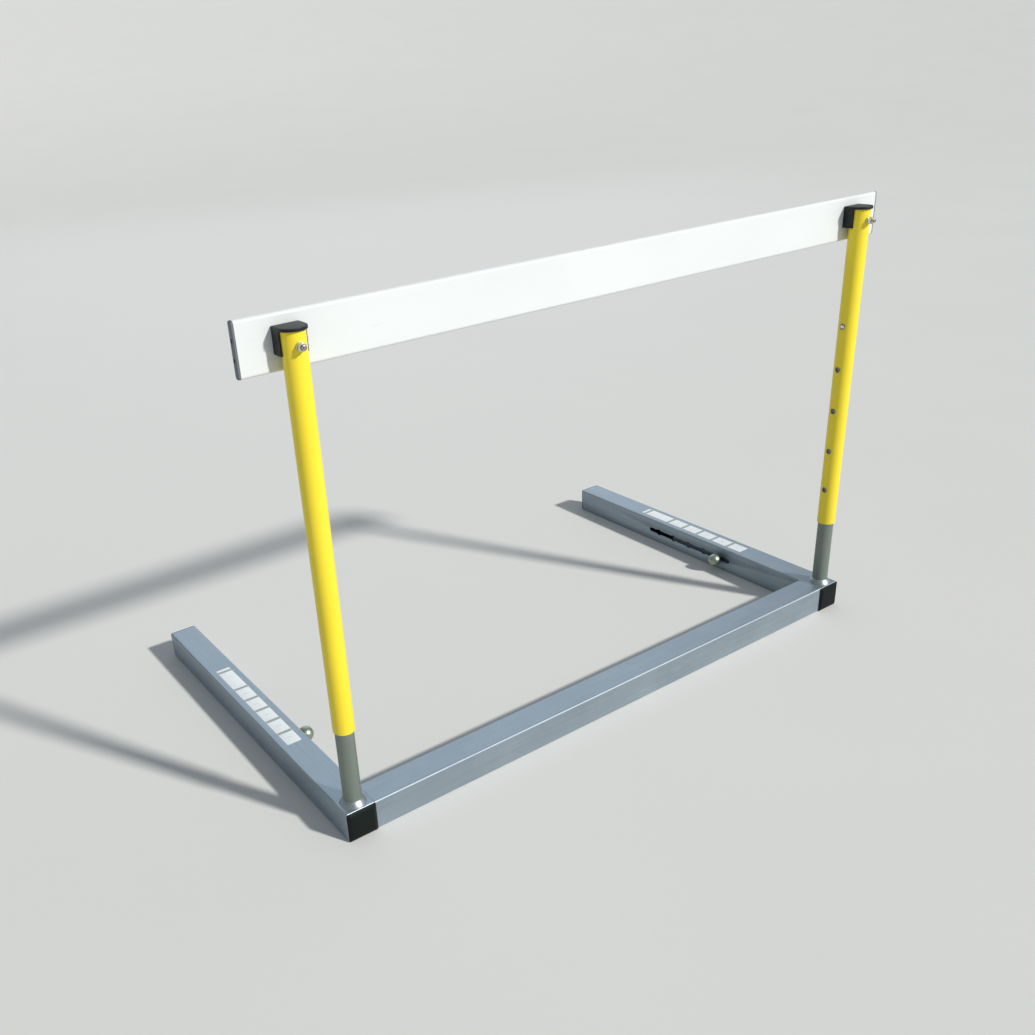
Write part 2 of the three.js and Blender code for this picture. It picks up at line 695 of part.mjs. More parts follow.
// One upright: inner tube, snap button with its spring clip, and outer tube
function addUpright(side) {
  const { name } = atSide(side);
  addPiece(`${name}_inner_tube`, innerTubeGeometry(side), "tube");
  addPiece(`${name}_button_clip`, buttonClipGeometry(side), "spring");
  addPiece(`${name}_snap_button`, snapButtonGeometry(side), "bright");
  addPiece(`${name}_outer_tube`, outerTubeGeometry(side), "yellow");
}

// One counterweight with its plunger, spring and knob
function addCounterweight(side) {
  const { name } = atSide(side);
  addPiece(`${name}_counterweight`, counterweightGeometry(side), "weight");
  addPiece(`${name}_plunger`, plungerGeometry(side), "bright");
  addPiece(`${name}_plunger_spring`, plungerSpringGeometry(side), "spring");
  addPiece(`${name}_knob`, knobGeometry(side), "bright");
}

// One fastening of the board: saddle, bolt, washer and nut
function addBoardFastening(side) {
  const { name } = atSide(side);
  addPiece(`${name}_saddle`, saddleGeometry(side), "black");
  addPiece(`${name}_board_bolt`, boltGeometry(side), "bright");
  addPiece(`${name}_board_washer`, washerGeometry(side), "bright");
  addPiece(`${name}_board_nut`, nutGeometry(side), "bright");
  addPiece(`${name}_board_cap`, boardCapGeometry(side), "slate");
}

for (const side of [-1, 1]) {
  addLeg(side);
  addUpright(side);
  addCounterweight(side);
  addBoardFastening(side);
}
addPiece("cross_beam", crossBeamGeometry(), "zinc");
addPiece("board", boardGeometry(), "white");

// The bolts' front ends and the legs' rear caps are the hurdle's extremes along Y
hurdle.position.y = -(boltFrontY + legLength) / 2;

export default hurdle;
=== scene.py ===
import math

import bmesh
import bpy
from mathutils import Matrix, Vector
from mathutils.geometry import tessellate_polygon


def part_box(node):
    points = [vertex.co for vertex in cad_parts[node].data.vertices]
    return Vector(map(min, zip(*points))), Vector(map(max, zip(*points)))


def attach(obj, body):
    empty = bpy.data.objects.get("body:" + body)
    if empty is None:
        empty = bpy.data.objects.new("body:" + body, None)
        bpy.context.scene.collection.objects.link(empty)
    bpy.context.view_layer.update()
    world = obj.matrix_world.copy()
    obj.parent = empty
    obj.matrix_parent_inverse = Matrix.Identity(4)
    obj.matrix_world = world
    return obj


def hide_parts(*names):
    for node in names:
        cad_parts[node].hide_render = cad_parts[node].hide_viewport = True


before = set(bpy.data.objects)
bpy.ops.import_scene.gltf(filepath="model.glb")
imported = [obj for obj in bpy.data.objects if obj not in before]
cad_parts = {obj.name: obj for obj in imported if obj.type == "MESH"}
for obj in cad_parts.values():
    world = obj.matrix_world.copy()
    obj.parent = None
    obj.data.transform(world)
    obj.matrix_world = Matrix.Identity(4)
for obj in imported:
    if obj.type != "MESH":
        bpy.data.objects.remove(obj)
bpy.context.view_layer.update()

# Track hurdle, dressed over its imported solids.
# Sizes are in millimetres and become metres as a point is placed.
MM = 0.001
SHARP = 35  # degrees; a crease over this stays crisp

# Camera, fitted to the photograph
CAMERA_PLACE = (-1.04921, -1.41447, 1.01586)
CAMERA_AZIMUTH, CAMERA_ELEVATION, CAMERA_ROLL = -0.56265, 0.46368, -0.07566
CAMERA_LENS, CAMERA_SHIFT = 35.81, (0.0807, 0.0532)
SUN = (0.378, -0.742, 0.553)  # towards the light, from the photograph's shadows

# Square tube of the base
TUBE, TUBE_WALL, TUBE_CORNER = 50, 2, 3
RIM_EASE, BORE_EASE = 0.9, 0.2  # how far a tube's end is eased, outside and inside
RIM_HOLD, BORE_RIM, BORE_HOLD = 2, 0.25, 1  # from the end to rings that keep the walls flat
SLOT_HALF, NOTCH_RADIUS, NOTCHES, NOTCH_PITCH = 4.5, 7, 5, 44
SLOT_END = 28  # beyond the first and the last notch
SLOT_LIP = ((0, 0.35), (0.12, 0.1), (0.35, 0))  # each a depth under a face and what it widens
WELD_FULLNESS = 0.6  # place of a fillet's bulge; at 0.5 it is flat
FOOT_WELD, CORNER_WELD = (6.5, 9, 4.6), (3.5, 3.5, 4)  # each out, up and along one pool
WELD_ROOT, CORNER_ROOT, CORNER_STOP = 0.2, 0.5, 4  # how far welds are sunk in, and stop short
# The flush weld's rings, each a place along the beam and a lift
SEAM_LEVELS = ((-2.2, -0.25), (-1.4, -0.02), (0.15, 0.03), (1.4, -0.02), (2.0, -0.25))

# Plungers and knobs
STEM_RADIUS, COLLAR_RADIUS, HEAD_RADIUS, HEAD_LENGTH = 3, 6, 5.5, 3
TURNED_EDGE = 0.35  # rounding of a plunger's and a washer's edges
COLLAR_START, COLLAR_END = -2.8, -0.3  # from the leg's inner face
KNOB_BORE_GAP, KNOB_BORE_DEPTH, KNOB_EDGE, KNOB_BORE_EDGE = 0.4, 10, 0.4, 0.3

# Uprights
OUTER_RADIUS, INNER_RADIUS, UPRIGHT_WALL = 16, 14, 1.5
TUBE_SIDES = 96
HOLE_RADIUS, HOLES, HOLE_PITCH = 4.5, 5, 76.2
HOLE_BORDER, HOLE_ROWS = 1.5, 8  # the fine mesh round a hole, and its rows
END_MARGIN = 0.5  # from a tube's end to its first row
HOLE_LIP = ((0.55, 0), (0.3, 0), (0.08, -0.1), (0, -0.3))  # each a widening and a rise
HOLE_BACK = ((0, 0.15), (0.15, 0))  # the same at the tube's bore
TUBE_RIM = ((0, 0.35), (-0.08, 0.12), (-0.3, 0))  # each a widening and a depth under the end
BORE_LIP = ((0.2, 0), (0, 0.2))  # the same at its bore
BUTTON_RADIUS, BUTTON_DOME, BUTTON_HEAD, BUTTON_EDGE = 4, 2, 1.4, 0.3
BUTTON_PROUD = 0.9  # how far the button's tip stands out of the outer tube

# Board and its fastenings. A pair of values is how far in, and how far along.
BOARD_CORNER, BOARD_WALL, BOARD_RIB, BOARD_CELLS = 4, 2, 2, 3
BOLT_RADIUS, BOLT_ROOM, NECK_LENGTH, HEAD_RIM, HEAD_GAP = 3, 0.5, 4, 0.5, 0.3
THREAD_LENGTH, THREAD_DEPTH, THREAD_PITCH, THREAD_MARGIN = 22, 0.5, 1, 0.8
BOLT_POINT, THREAD_RUNOUT, HEAD_UNDERCUT, NECK_EASE = (0.5, 0.6), 0.7, 0.2, (0.4, 0.3)
WASHER_ROOM, NUT_ROOM, NUT_CHAMFER = 0.3, 0.1, 0.7
SADDLE_RADIUS, SADDLE_BORE, SADDLE_PLATE, SADDLE_CORNER, SADDLE_EDGE = 18.8, 16.3, 4, 0.8, 0.45
CAP_FLANGE, TONGUE_GAP, TONGUE_END, TONGUE_EASE, TONGUE_TIP = 3, 0.4, 17, 0.4, 0.93
POCKET_WIDTH, POCKET_HEIGHT, POCKET_CORNER, POCKET_DEPTH, POCKET_EASE = 5, 6, 1.6, 1.6, 0.25
OVERRUN, WIDE = 5, 30  # how far a cutter runs past what it cuts, and reaches to its sides

# Scale label: its ends and the lines across it, along a leg
LABEL_ENDS = (-132.25, 154.15)
LABEL_LINES = (-95.75, -52.55, -10.65, 30.85, 73.85, 143.85)
LABEL_WIDTH, LABEL_CORNER, LABEL_RISE = 25.4, 2.5, 0.1
LINE_WIDTH, LINE_MARGIN, LINE_RISE, FIGURE_RISE = 6.6, 0.3, 0.11, 0.12
HEIGHT_MARKS, FIGURE_SIZE = ("76.2", "83.8", "91.4", "99.1", "106.7"), 5

# Light: its colours, then how far off it stands and what it aims at, in metres
COOL, WARM = (0.84, 0.92, 1.0), (1.0, 0.97, 0.92)
LIGHT_DISTANCE, AIM_HEIGHT = 7, 0.35


# Materials

def reckoning(operation, reflected=False):
    """A method that adds one Math node of two values."""
    def method(self, other):
        first, second = (other, self) if reflected else (self, other)
        return self.bench.node("ShaderNodeMath", {"operation": operation}, {0: first, 1: second})
    return method


class Wire:
    """A socket's output that adds Math nodes as it is reckoned with."""

    def __init__(self, bench, socket):
        self.bench, self.socket = bench, socket

    def __abs__(self):
        return self.bench.node("ShaderNodeMath", {"operation": "ABSOLUTE"}, {0: self})

    __add__, __radd__ = reckoning("ADD"), reckoning("ADD", True)
    __sub__, __rsub__ = reckoning("SUBTRACT"), reckoning("SUBTRACT", True)
    __mul__, __rmul__ = reckoning("MULTIPLY"), reckoning("MULTIPLY", True)
    __truediv__, __rtruediv__ = reckoning("DIVIDE"), reckoning("DIVIDE", True)
    __mod__, __rmod__ = reckoning("FLOORED_MODULO"), reckoning("FLOORED_MODULO", True)
    __pow__, __rpow__ = reckoning("POWER"), reckoning("POWER", True)
    over, under = reckoning("MAXIMUM"), reckoning("MINIMUM")


class Bench:
    """Makes nodes in one tree."""

    def __init__(self, tree):
        self.tree = tree

    def node(self, kind, settings=None, sockets=None, out=0):
        """One node: its settings first, then the values or wires of its sockets."""
        node = self.tree.nodes.new(kind)
        for key, value in (settings or {}).items():
            setattr(node, key, value)
        for key, value in (sockets or {}).items():
            if isinstance(value, Wire):
                self.tree.links.new(value.socket, node.inputs[key])
            else:
                node.inputs[key].default_value = value
        return Wire(self, node.outputs[out]) if node.outputs else node


class Finish(Bench):
    """A material in the making, on the piece's own coordinates in metres."""

    def __init__(self, name, **constants):
        self.material = bpy.data.materials.new(name)
        self.material.use_nodes = True
        super().__init__(self.material.node_tree)
        self.tree.nodes.clear()
        constants = {key.replace("_", " "): value for key, value in constants.items()}
        surface = self.node("ShaderNodeBsdfPrincipled", None, constants)
        self.shader = surface.socket.node
        self.node("ShaderNodeOutputMaterial", None, {0: surface})
        self.place = self.node("ShaderNodeTexCoord", out="Object")
        self.facing = self.node("ShaderNodeNewGeometry", out="Normal")

    def axis(self, letter, source=None):
        """One coordinate of a point, or of another vector."""
        return self.node("ShaderNodeSeparateXYZ", None, {0: source or self.place}, letter)

    def up_facing(self, low, high):
        """0 on upright faces to 1 on level ones."""
        return self.span(self.axis("Z", self.facing), low, high)

    def grain(self, scale, stretch=(1, 1, 1), detail=3, roughness=0.5, shift=0.0):
        """Noise from 0 to 1; the scale counts its cells in a metre."""
        place = self.node("ShaderNodeMapping", None,
                          {0: self.place, 1: (shift, shift, shift), 3: stretch})
        return self.node("ShaderNodeTexNoise", None, {
            "Vector": place, "Scale": scale, "Detail": detail, "Roughness": roughness})

    def span(self, wire, low, high, start=0.0, end=1.0):
        """Maps a value from low and high to start and end, and holds it between them."""
        return self.node("ShaderNodeMapRange", {"clamp": True},
                         {0: wire, 1: low, 2: high, 3: start, 4: end})

    def scratches(self, scale, stretch, low, high):
        """Thin marks along one way, 1 in a mark."""
        return self.span(self.grain(scale, stretch, 2, 0.6, 3.0), low, high)

    def colours(self, factor, dark, light, *layers):
        """A colour between two, then others laid over it, each after its factor."""
        colour = (*dark, 1.0)
        for cover, shade in [(factor, light), *layers]:
            sockets = {0: cover, 6: colour, 7: (*shade, 1.0)}
            colour = self.node("ShaderNodeMix", {"data_type": "RGBA"}, sockets, 2)
        return colour

    def feed(self, **wires):
        """The material, once what changes over the surface feeds its shader."""
        for key, wire in wires.items():
            self.tree.links.new(wire.socket, self.shader.inputs[key.replace("_", " ")])
        return self.material

    def done(self, relief, strength, distance, **wires):
        """The material with its relief; the distance is in metres."""
        bump = {"Strength": strength, "Distance": distance, "Height": relief}
        return self.feed(Normal=self.node("ShaderNodeBump", None, bump), **wires)


def zinc_plate(name, long_axis, centre):
    """Satin zinc on square tube: lines along it, soft clouds, scuffs and brighter edges."""
    finish = Finish(name)
    stretch = [0.012 if letter == long_axis else 1.0 for letter in "XYZ"]
    lines = finish.grain(420, stretch, 3, 0.7)
    clouds = finish.grain(11, detail=5, roughness=0.62)
    blotches = finish.grain(46, detail=4, roughness=0.6, shift=2.0)
    scuffs = finish.scratches(120, [s * 0.3 + 0.05 for s in stretch], 0.7, 0.76)
    across = abs(finish.axis("X")) if long_axis == "Y" else finish.axis("Y")
    z = finish.axis("Z")
    corner = abs(across - centre).under(abs(z - TUBE / 2 * MM))
    edge = finish.span(corner, 0.0226, 0.0244) * finish.span(blotches, 0.3, 0.6, 0.4, 1.0)
    low_dust = finish.span(z, 0.012, 0.001) * finish.span(blotches, 0.42, 0.62)
    colour = finish.colours(
        finish.span(clouds, 0.3, 0.7), (0.285, 0.345, 0.40), (0.345, 0.41, 0.465),
        (finish.span(lines, 0.35, 0.65) * 0.35, (0.21, 0.26, 0.31)),
        (scuffs * 0.3, (0.50, 0.56, 0.62)),
        (edge * 0.35, (0.46, 0.51, 0.55)),
        (low_dust * 0.35, (0.20, 0.20, 0.17)))
    return finish.done(
        lines * 0.6 + blotches * 0.4 - scuffs * 0.5, 0.35, 0.0003,
        Base_Color=colour,
        Metallic=0.72 - low_dust * 0.4,
        Roughness=0.35 + clouds * 0.14 + lines * 0.08 + low_dust * 0.2 + edge * 0.22)


def drawn_tube():
    """Grey plated round tube, with slide marks down it."""
    finish = Finish("drawn_grey_tube")
    lines = finish.grain(520, (1, 1, 0.02), 3, 0.65)
    clouds = finish.grain(28, (1, 1, 0.4), 4, 0.6)
    slides = finish.scratches(260, (1, 1, 0.035), 0.6, 0.7)
    foot = finish.span(finish.axis("Z"), 0.066, 0.054)
    colour = finish.colours(
        clouds, (0.155, 0.19, 0.165), (0.215, 0.255, 0.225),
        (slides * 0.35, (0.36, 0.39, 0.36)),
        (foot * finish.span(clouds, 0.3, 0.7, 0.1, 0.5), (0.24, 0.25, 0.23)))
    return finish.done(
        lines - slides * 0.5, 0.3, 0.0002,
        Base_Color=colour,
        Metallic=0.4 - foot * 0.1,
        Roughness=0.38 + lines * 0.18 + foot * 0.1)


def yellow_coat(tube_y, hole_top, tube_foot, upright_x):
    """Glossy yellow powder coat, chipped at the foot and round the height holes."""
    finish = Finish("yellow_powder_coat", Coat_Roughness=0.1, Specular_IOR_Level=0.3)
    peel = finish.grain(620, detail=2)
    clouds = finish.grain(9, (1, 1, 0.35), 4, 0.6)
    flecks = finish.grain(380, detail=4, roughness=0.7, shift=5.0)
    rubs = finish.scratches(170, (1, 1, 0.06), 0.66, 0.75)
    z = finish.axis("Z")
    pitch = HOLE_PITCH * MM
    drop = abs((z - (hole_top - pitch / 2)) % pitch - pitch / 2)
    across = finish.axis("Y") - tube_y
    reach = (drop * drop + across * across) ** 0.5
    inner_side = finish.span(abs(finish.axis("X")), upright_x - 0.002, upright_x - 0.006)
    row = finish.span(z, hole_top + 0.02, hole_top + 0.01)
    rim = finish.span(reach, 0.0074, 0.0047) * inner_side * row
    chips = finish.span(rim * 0.4 + flecks, 0.84, 0.88)
    foot = finish.span(z, tube_foot + 0.0016, tube_foot)
    chips = chips.over(finish.span(foot * 0.5 + flecks, 0.94, 0.98))
    grime = finish.span(z, tube_foot + 0.09, tube_foot) * finish.span(clouds, 0.35, 0.7)
    colour = finish.colours(
        finish.span(clouds, 0.3, 0.7), (0.85, 0.675, 0.026), (0.90, 0.725, 0.04),
        (rubs * 0.2, (0.62, 0.53, 0.05)),
        (grime * 0.2 + rim * 0.3, (0.40, 0.33, 0.05)),
        (chips, (0.23, 0.22, 0.20)))
    return finish.done(
        peel - chips * 3.0, 0.22, 0.00025,
        Base_Color=colour,
        Metallic=chips * 0.7,
        Roughness=0.3 + peel * 0.08 + rubs * 0.15 + chips * 0.2,
        Coat_Weight=(1 - chips) * 0.1)


def white_board():
    """White extruded plastic: faint lines along it, a few scuffs and a little dust."""
    finish = Finish("white_board_plastic", Coat_Roughness=0.2)
    lines = finish.grain(300, (0.004, 1, 1), 3, 0.6)
    clouds = finish.grain(6, (0.6, 1, 1), 4, 0.6)
    scuffs = finish.scratches(75, (0.25, 1, 1), 0.7, 0.78)
    specks = finish.span(finish.grain(420, detail=2, shift=7.0), 0.74, 0.8)
    patches = finish.span(clouds, 0.3, 0.7)
    dust = finish.up_facing(0.5, 0.95) * patches
    colour = finish.colours(
        patches, (0.70, 0.735, 0.75), (0.735, 0.765, 0.78),
        (scuffs * 0.25, (0.54, 0.56, 0.57)),
        (specks * 0.3, (0.45, 0.45, 0.42)),
        (dust * 0.22, (0.60, 0.61, 0.56)))
    return finish.done(
        lines * 0.5 + clouds * 0.5 - scuffs * 0.4, 0.2, 0.0003,
        Base_Color=colour,
        Roughness=0.34 + lines * 0.08 + scuffs * 0.2 + dust * 0.2,
        Coat_Weight=0.25 - dust * 0.2)


def slate_moulding():
    """Slate-grey moulded caps at the board's ends, their up-facing faces darkened as painted shade."""
    finish = Finish("slate_moulded_plastic")
    texture = finish.grain(1500, detail=2)
    clouds = finish.grain(60, detail=4, roughness=0.6)
    scuffs = finish.scratches(240, (1, 0.4, 1), 0.68, 0.76)
    colour = finish.colours(
        clouds, (0.115, 0.135, 0.155), (0.17, 0.19, 0.21),
        (scuffs * 0.4, (0.32, 0.34, 0.35)),
        # painted shade: the up-facing faces are darkened
        (finish.up_facing(0.3, 0.8) * 0.5, (0.07, 0.08, 0.09)))
    return finish.done(texture, 0.3, 0.0002, Base_Color=colour, Roughness=0.48 + clouds * 0.16)


def black_moulding(name, gloss, dusting):
    """Black moulded plastic with a fine texture, and dust where it faces up."""
    finish = Finish(name, Specular_IOR_Level=gloss)
    texture = finish.grain(1300, detail=2)
    clouds = finish.grain(70, detail=5, roughness=0.65)
    scuffs = finish.scratches(200, (1, 0.5, 0.5), 0.68, 0.75)
    dust = finish.up_facing(0.35, 0.95) * finish.span(clouds, 0.3, 0.65, 0.35, 1.0)
    colour = finish.colours(
        clouds, (0.003, 0.006, 0.006), (0.010, 0.014, 0.013),
        (scuffs * 0.2, (0.05, 0.06, 0.055)),
        (dust * dusting, (0.16, 0.18, 0.17)))
    return finish.done(texture, 0.35, 0.00022, Base_Color=colour,
                       Roughness=0.4 + clouds * 0.16 + dust * 0.1)


def plated(name, dark, light, dullness, bolt_end=None):
    """Zinc or nickel plate on small turned pieces, hazy, with fine rings and a few brown spots.
    A bolt's end, given as its middle in metres, is coloured dark brown."""
    finish = Finish(name)
    haze = finish.grain(260, detail=4, roughness=0.6)
    rings = finish.grain(900, detail=2, shift=2.0)
    spots = finish.span(finish.grain(700, detail=3, shift=9.0), 0.66, 0.74)
    if bolt_end:
        x, y, z = bolt_end
        out, up = abs(finish.axis("X")) - x, finish.axis("Z") - z
        near = finish.span((out * out + up * up) ** 0.5, 0.0027, 0.002)
        # the bolt's end takes the spots' dark brown
        spots = spots.over(near * finish.span(finish.axis("Y"), y + 0.002, y))
    colour = finish.colours(haze, dark, light, (spots * 0.75, (0.16, 0.11, 0.07)))
    return finish.done(
        rings, 0.12, 0.0001,
        Base_Color=colour,
        Metallic=1.0 - spots * 0.5,
        Roughness=dullness + haze * 0.16 + spots * 0.3)


def weld_metal():
    """Plated weld metal, brighter on its ripples and dull in its roots."""
    finish = Finish("weld_metal")
    clouds = finish.grain(240, detail=5, roughness=0.65)
    pits = finish.span(finish.grain(900, detail=3, shift=4.0), 0.62, 0.72)
    colour = finish.colours(clouds, (0.24, 0.29, 0.32), (0.42, 0.46, 0.48),
                            (pits * 0.4, (0.14, 0.15, 0.14)))
    return finish.done(
        clouds - pits * 0.3, 0.35, 0.0003,
        Base_Color=colour,
        Metallic=0.85 - pits * 0.3,
        Roughness=0.33 + clouds * 0.16 + pits * 0.2)


def ground_seam():
    """Weld ground flush: bright, with coarse marks across it."""
    finish = Finish("ground_weld_seam")
    marks = finish.grain(900, (1, 0.2, 0.2), 3, 0.6)
    clouds = finish.grain(180, detail=4)
    colour = finish.colours(marks, (0.22, 0.265, 0.31), (0.36, 0.41, 0.46),
                            (finish.span(clouds, 0.45, 0.75) * 0.6, (0.19, 0.22, 0.25)))
    return finish.done(marks, 0.4, 0.0002, Base_Color=colour,
                       Metallic=0.6 + clouds * 0.3, Roughness=0.3 + marks * 0.25)


def mill_steel():
    """Plain bar steel with dark bluish mill scale, worn through in places."""
    finish = Finish("mill_scale_bar")
    scale = finish.grain(90, detail=6, roughness=0.7)
    worn = finish.span(finish.grain(40, (1, 0.2, 1), 4, 0.6, 3.0), 0.56, 0.7)
    colour = finish.colours(scale, (0.035, 0.045, 0.065), (0.09, 0.115, 0.15),
                            (worn * 0.5, (0.30, 0.32, 0.34)))
    return finish.done(scale, 0.4, 0.0004, Base_Color=colour,
                       Metallic=0.6 + worn * 0.3, Roughness=0.6 - worn * 0.2 - scale * 0.1)


def spring_steel():
    """Oiled spring strip and wire."""
    finish = Finish("spring_steel")
    lines = finish.grain(800, (1, 1, 0.1), 3, 0.6)
    tint = finish.grain(120, detail=4)
    colour = finish.colours(tint, (0.24, 0.26, 0.30), (0.46, 0.46, 0.44))
    return finish.done(lines, 0.2, 0.0001, Base_Color=colour,
                       Metallic=0.8 + tint * 0.2, Roughness=0.2 + lines * 0.2)


def label_vinyl():
    """White vinyl strip, weathered and rubbed."""
    finish = Finish("label_vinyl", Coat_Roughness=0.25)
    clouds = finish.grain(60, detail=5, roughness=0.65)
    stains = finish.span(finish.grain(160, detail=4, shift=6.0), 0.55, 0.75)
    rubs = finish.scratches(220, (1, 0.3, 1), 0.66, 0.74)
    colour = finish.colours(
        clouds, (0.74, 0.79, 0.82), (0.84, 0.88, 0.90),
        (stains * 0.3, (0.52, 0.55, 0.56)),
        (rubs * 0.4, (0.46, 0.50, 0.53)))
    return finish.done(clouds, 0.2, 0.0002, Base_Color=colour,
                       Roughness=0.32 + stains * 0.2, Coat_Weight=0.3 - stains * 0.2)


def print_ink(name, dark, light):
    """Faded grey print."""
    finish = Finish(name)
    fade = finish.grain(420, detail=4, roughness=0.7)
    colour = finish.colours(finish.span(fade, 0.35, 0.7), dark, light)
    return finish.done(fade, 0.1, 0.0001, Base_Color=colour, Roughness=0.5 + fade * 0.2)


def studio_floor():
    """Pale matt floor with the faintest mottle."""
    finish = Finish("pale_floor")
    clouds = finish.grain(1.7, detail=3)
    colour = finish.colours(clouds, (0.72, 0.73, 0.72), (0.75, 0.755, 0.745))
    return finish.feed(Base_Color=colour, Roughness=0.75 + clouds * 0.1)


# Shapes

def arc(x, y, radius, start, end, steps):
    """Points along an arc, ends included; the angles are in degrees."""
    turns = [math.radians(start + (end - start) * step / steps) for step in range(steps + 1)]
    return [(x + radius * math.cos(turn), y + radius * math.sin(turn)) for turn in turns]


def circle(radius, steps):
    """Outline of a circle."""
    return arc(0, 0, radius, 0, 360, steps)[:-1]


def scaled(outline, scale):
    """An outline made larger or smaller about its middle."""
    return [(x * scale, y * scale) for x, y in outline]


def round_box(width, height, radius, steps=8, hold=0.4):
    """Outline of a rectangle with round corners. Points beside each corner hold the flats
    flat, and the last point and the first bound its right side."""
    outline = []
    for corner, (right, up) in enumerate(((1, 1), (-1, 1), (-1, -1), (1, -1))):
        bend = arc(right * (width / 2 - radius), up * (height / 2 - radius), radius,
                   90 * corner, 90 * (corner + 1), steps)
        way = math.radians(90 * corner)
        before = (bend[0][0] + hold * math.sin(way), bend[0][1] - hold * math.cos(way))
        after = (bend[-1][0] - hold * math.cos(way), bend[-1][1] - hold * math.sin(way))
        outline += [before, *bend, after]
    return outline


def softened(profile, radius, steps=3):
    """A profile of straight runs with its inner corners rounded."""
    points = [Vector(point) for point in profile]
    soft = [points[0]]
    for before, corner, after in zip(points, points[1:], points[2:]):
        reach = min(radius, (before - corner).length * 0.45, (after - corner).length * 0.45)
        start = corner + (before - corner).normalized() * reach
        end = corner + (after - corner).normalized() * reach
        for step in range(steps + 1):
            t = step / steps
            soft.append(start * (1 - t) ** 2 + corner * (2 * t * (1 - t)) + end * t ** 2)
    return [tuple(point) for point in [*soft, points[-1]]]


def dome(radius, start, height, steps):
    """Profile of a dome, from its rim to its top."""
    turns = [math.radians(90 * step / steps) for step in range(steps + 1)]
    return [(radius * math.cos(turn), start + height * math.sin(turn)) for turn in turns]


def both_ends(levels, near, far):
    """Levels measured in from a near end, and then the same ones out to a far end."""
    way = 1 if far > near else -1
    first = [(near + way * depth, shape) for depth, shape in levels]
    return first + [(far - way * depth, shape) for depth, shape in reversed(levels)]


def slot_outline(first, extra):
    """Outline of the notched slot along its leg, widened by extra on every side."""
    half, notch = SLOT_HALF + extra, NOTCH_RADIUS + extra
    mouth = math.degrees(math.asin(half / notch))
    last = first + (NOTCHES - 1) * NOTCH_PITCH
    round_end = SLOT_END - SLOT_HALF
    centres = [first + step * NOTCH_PITCH for step in range(NOTCHES)]
    outline = arc(last + round_end, 0, half, -90, 90, 12)
    for centre in reversed(centres):
        outline += arc(centre, 0, notch, mouth, 180 - mouth, 14)
    outline += arc(first - round_end, 0, half, 90, 270, 12)
    for centre in centres:
        outline += arc(centre, 0, notch, 180 + mouth, 360 - mouth, 14)
    return outline


def sideways(x, y, z, way=1):
    """Places (along, across, rise), with along running right from an x, or left."""
    return lambda along, across, rise: (x + way * along, y + across, z + rise)


def backwards(x, z, y=0, way=1):
    """Places (along, across, rise), with along running back from a y, or forwards."""
    return lambda along, across, rise: (x + across, y + way * along, z + rise)


class Shell:
    """A mesh in the making. Its points come in millimetres and go through a placing function."""

    def __init__(self, place=lambda x, y, z: (x, y, z)):
        self.mesh = bmesh.new()
        self.place = place

    def ring(self, points):
        return [self.mesh.verts.new(Vector(self.place(*point)) * MM) for point in points]

    def rings(self, levels):
        """Rings from flat outlines, each at its place along the first axis."""
        return [self.ring([(along, *point) for point in outline]) for along, outline in levels]

    def skin(self, rings, skip=()):
        """Faces between neighbouring rings, all round; skip names the places left open."""
        for near, far in zip(rings, rings[1:]):
            for place in range(len(near)):
                after = (place + 1) % len(near)
                if place not in skip:
                    self.mesh.faces.new((near[place], near[after], far[after], far[place]))

    def plate(self, outer, holes=()):
        """A flat face inside a ring and round its holes."""
        loops = [outer, *holes]
        corners = [corner for loop in loops for corner in loop]
        for triangle in tessellate_polygon([[corner.co for corner in loop] for loop in loops]):
            self.mesh.faces.new([corners[index] for index in triangle])

    def solid(self, levels):
        """A closed body through flat outlines."""
        rings = self.rings(levels)
        self.skin(rings)
        self.plate(rings[0])
        self.plate(rings[-1])

    def turned(self, profile, sides=48):
        """Spins (radius, along) pairs about the first axis; zero radius closes an end."""
        self.skin(self.rings([(along, spun(radius, sides)) for radius, along in profile]))

    def close(self):
        """The finished mesh, with its doubles merged and its faces turned out."""
        bmesh.ops.remove_doubles(self.mesh, verts=self.mesh.verts, dist=0.002 * MM)
        bmesh.ops.recalc_face_normals(self.mesh, faces=self.mesh.faces)
        data = bpy.data.meshes.new("shell")
        self.mesh.to_mesh(data)
        self.mesh.free()
        return data


def spun(radius, sides):
    """Outline of a turned piece at one radius."""
    turns = [2 * math.pi * side / sides for side in range(sides)]
    return [(radius * math.cos(turn), radius * math.sin(turn)) for turn in turns]


def in_scene(name, data):
    """A new object in the scene."""
    thing = bpy.data.objects.new(name, data)
    bpy.context.scene.collection.objects.link(thing)
    return thing


def as_mesh(holder):
    """The plain mesh that an object's modifiers or curves give; the object itself goes."""
    graph = bpy.context.evaluated_depsgraph_get()
    data = bpy.data.meshes.new_from_object(holder.evaluated_get(graph))
    holder.modifiers.clear()
    bpy.data.objects.remove(holder)
    return data


def joined(*parts):
    """One mesh of several."""
    whole = bmesh.new()
    for part in parts:
        whole.from_mesh(part)
    data = bpy.data.meshes.new("joined")
    whole.to_mesh(data)
    whole.free()
    return data


def settle(name, data, finish, body, slot, *nodes):
    """Makes a mesh a piece of the hurdle, in place of the CAD nodes it stands for."""
    data.name = name
    data.materials.clear()
    data.materials.append(finish)
    data.shade_smooth()
    data.set_sharp_from_angle(angle=math.radians(SHARP))
    piece = in_scene(name, data)
    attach(piece, body)
    if nodes:
        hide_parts(*nodes)


def worked(data, kind, **settings):
    """A mesh after a modifier of a kind, with its settings."""
    holder = in_scene("work", data)
    modifier = holder.modifiers.new(kind.title(), kind)
    for key, value in settings.items():
        setattr(modifier, key, value)
    return as_mesh(holder)


def cut(data, tools):
    """A mesh with other closed meshes cut out of it."""
    for tool in tools:
        cutter = in_scene("cutter", tool)
        data = worked(data, "BOOLEAN", object=cutter, operation="DIFFERENCE", solver="EXACT")
        bpy.data.objects.remove(cutter)
    return data


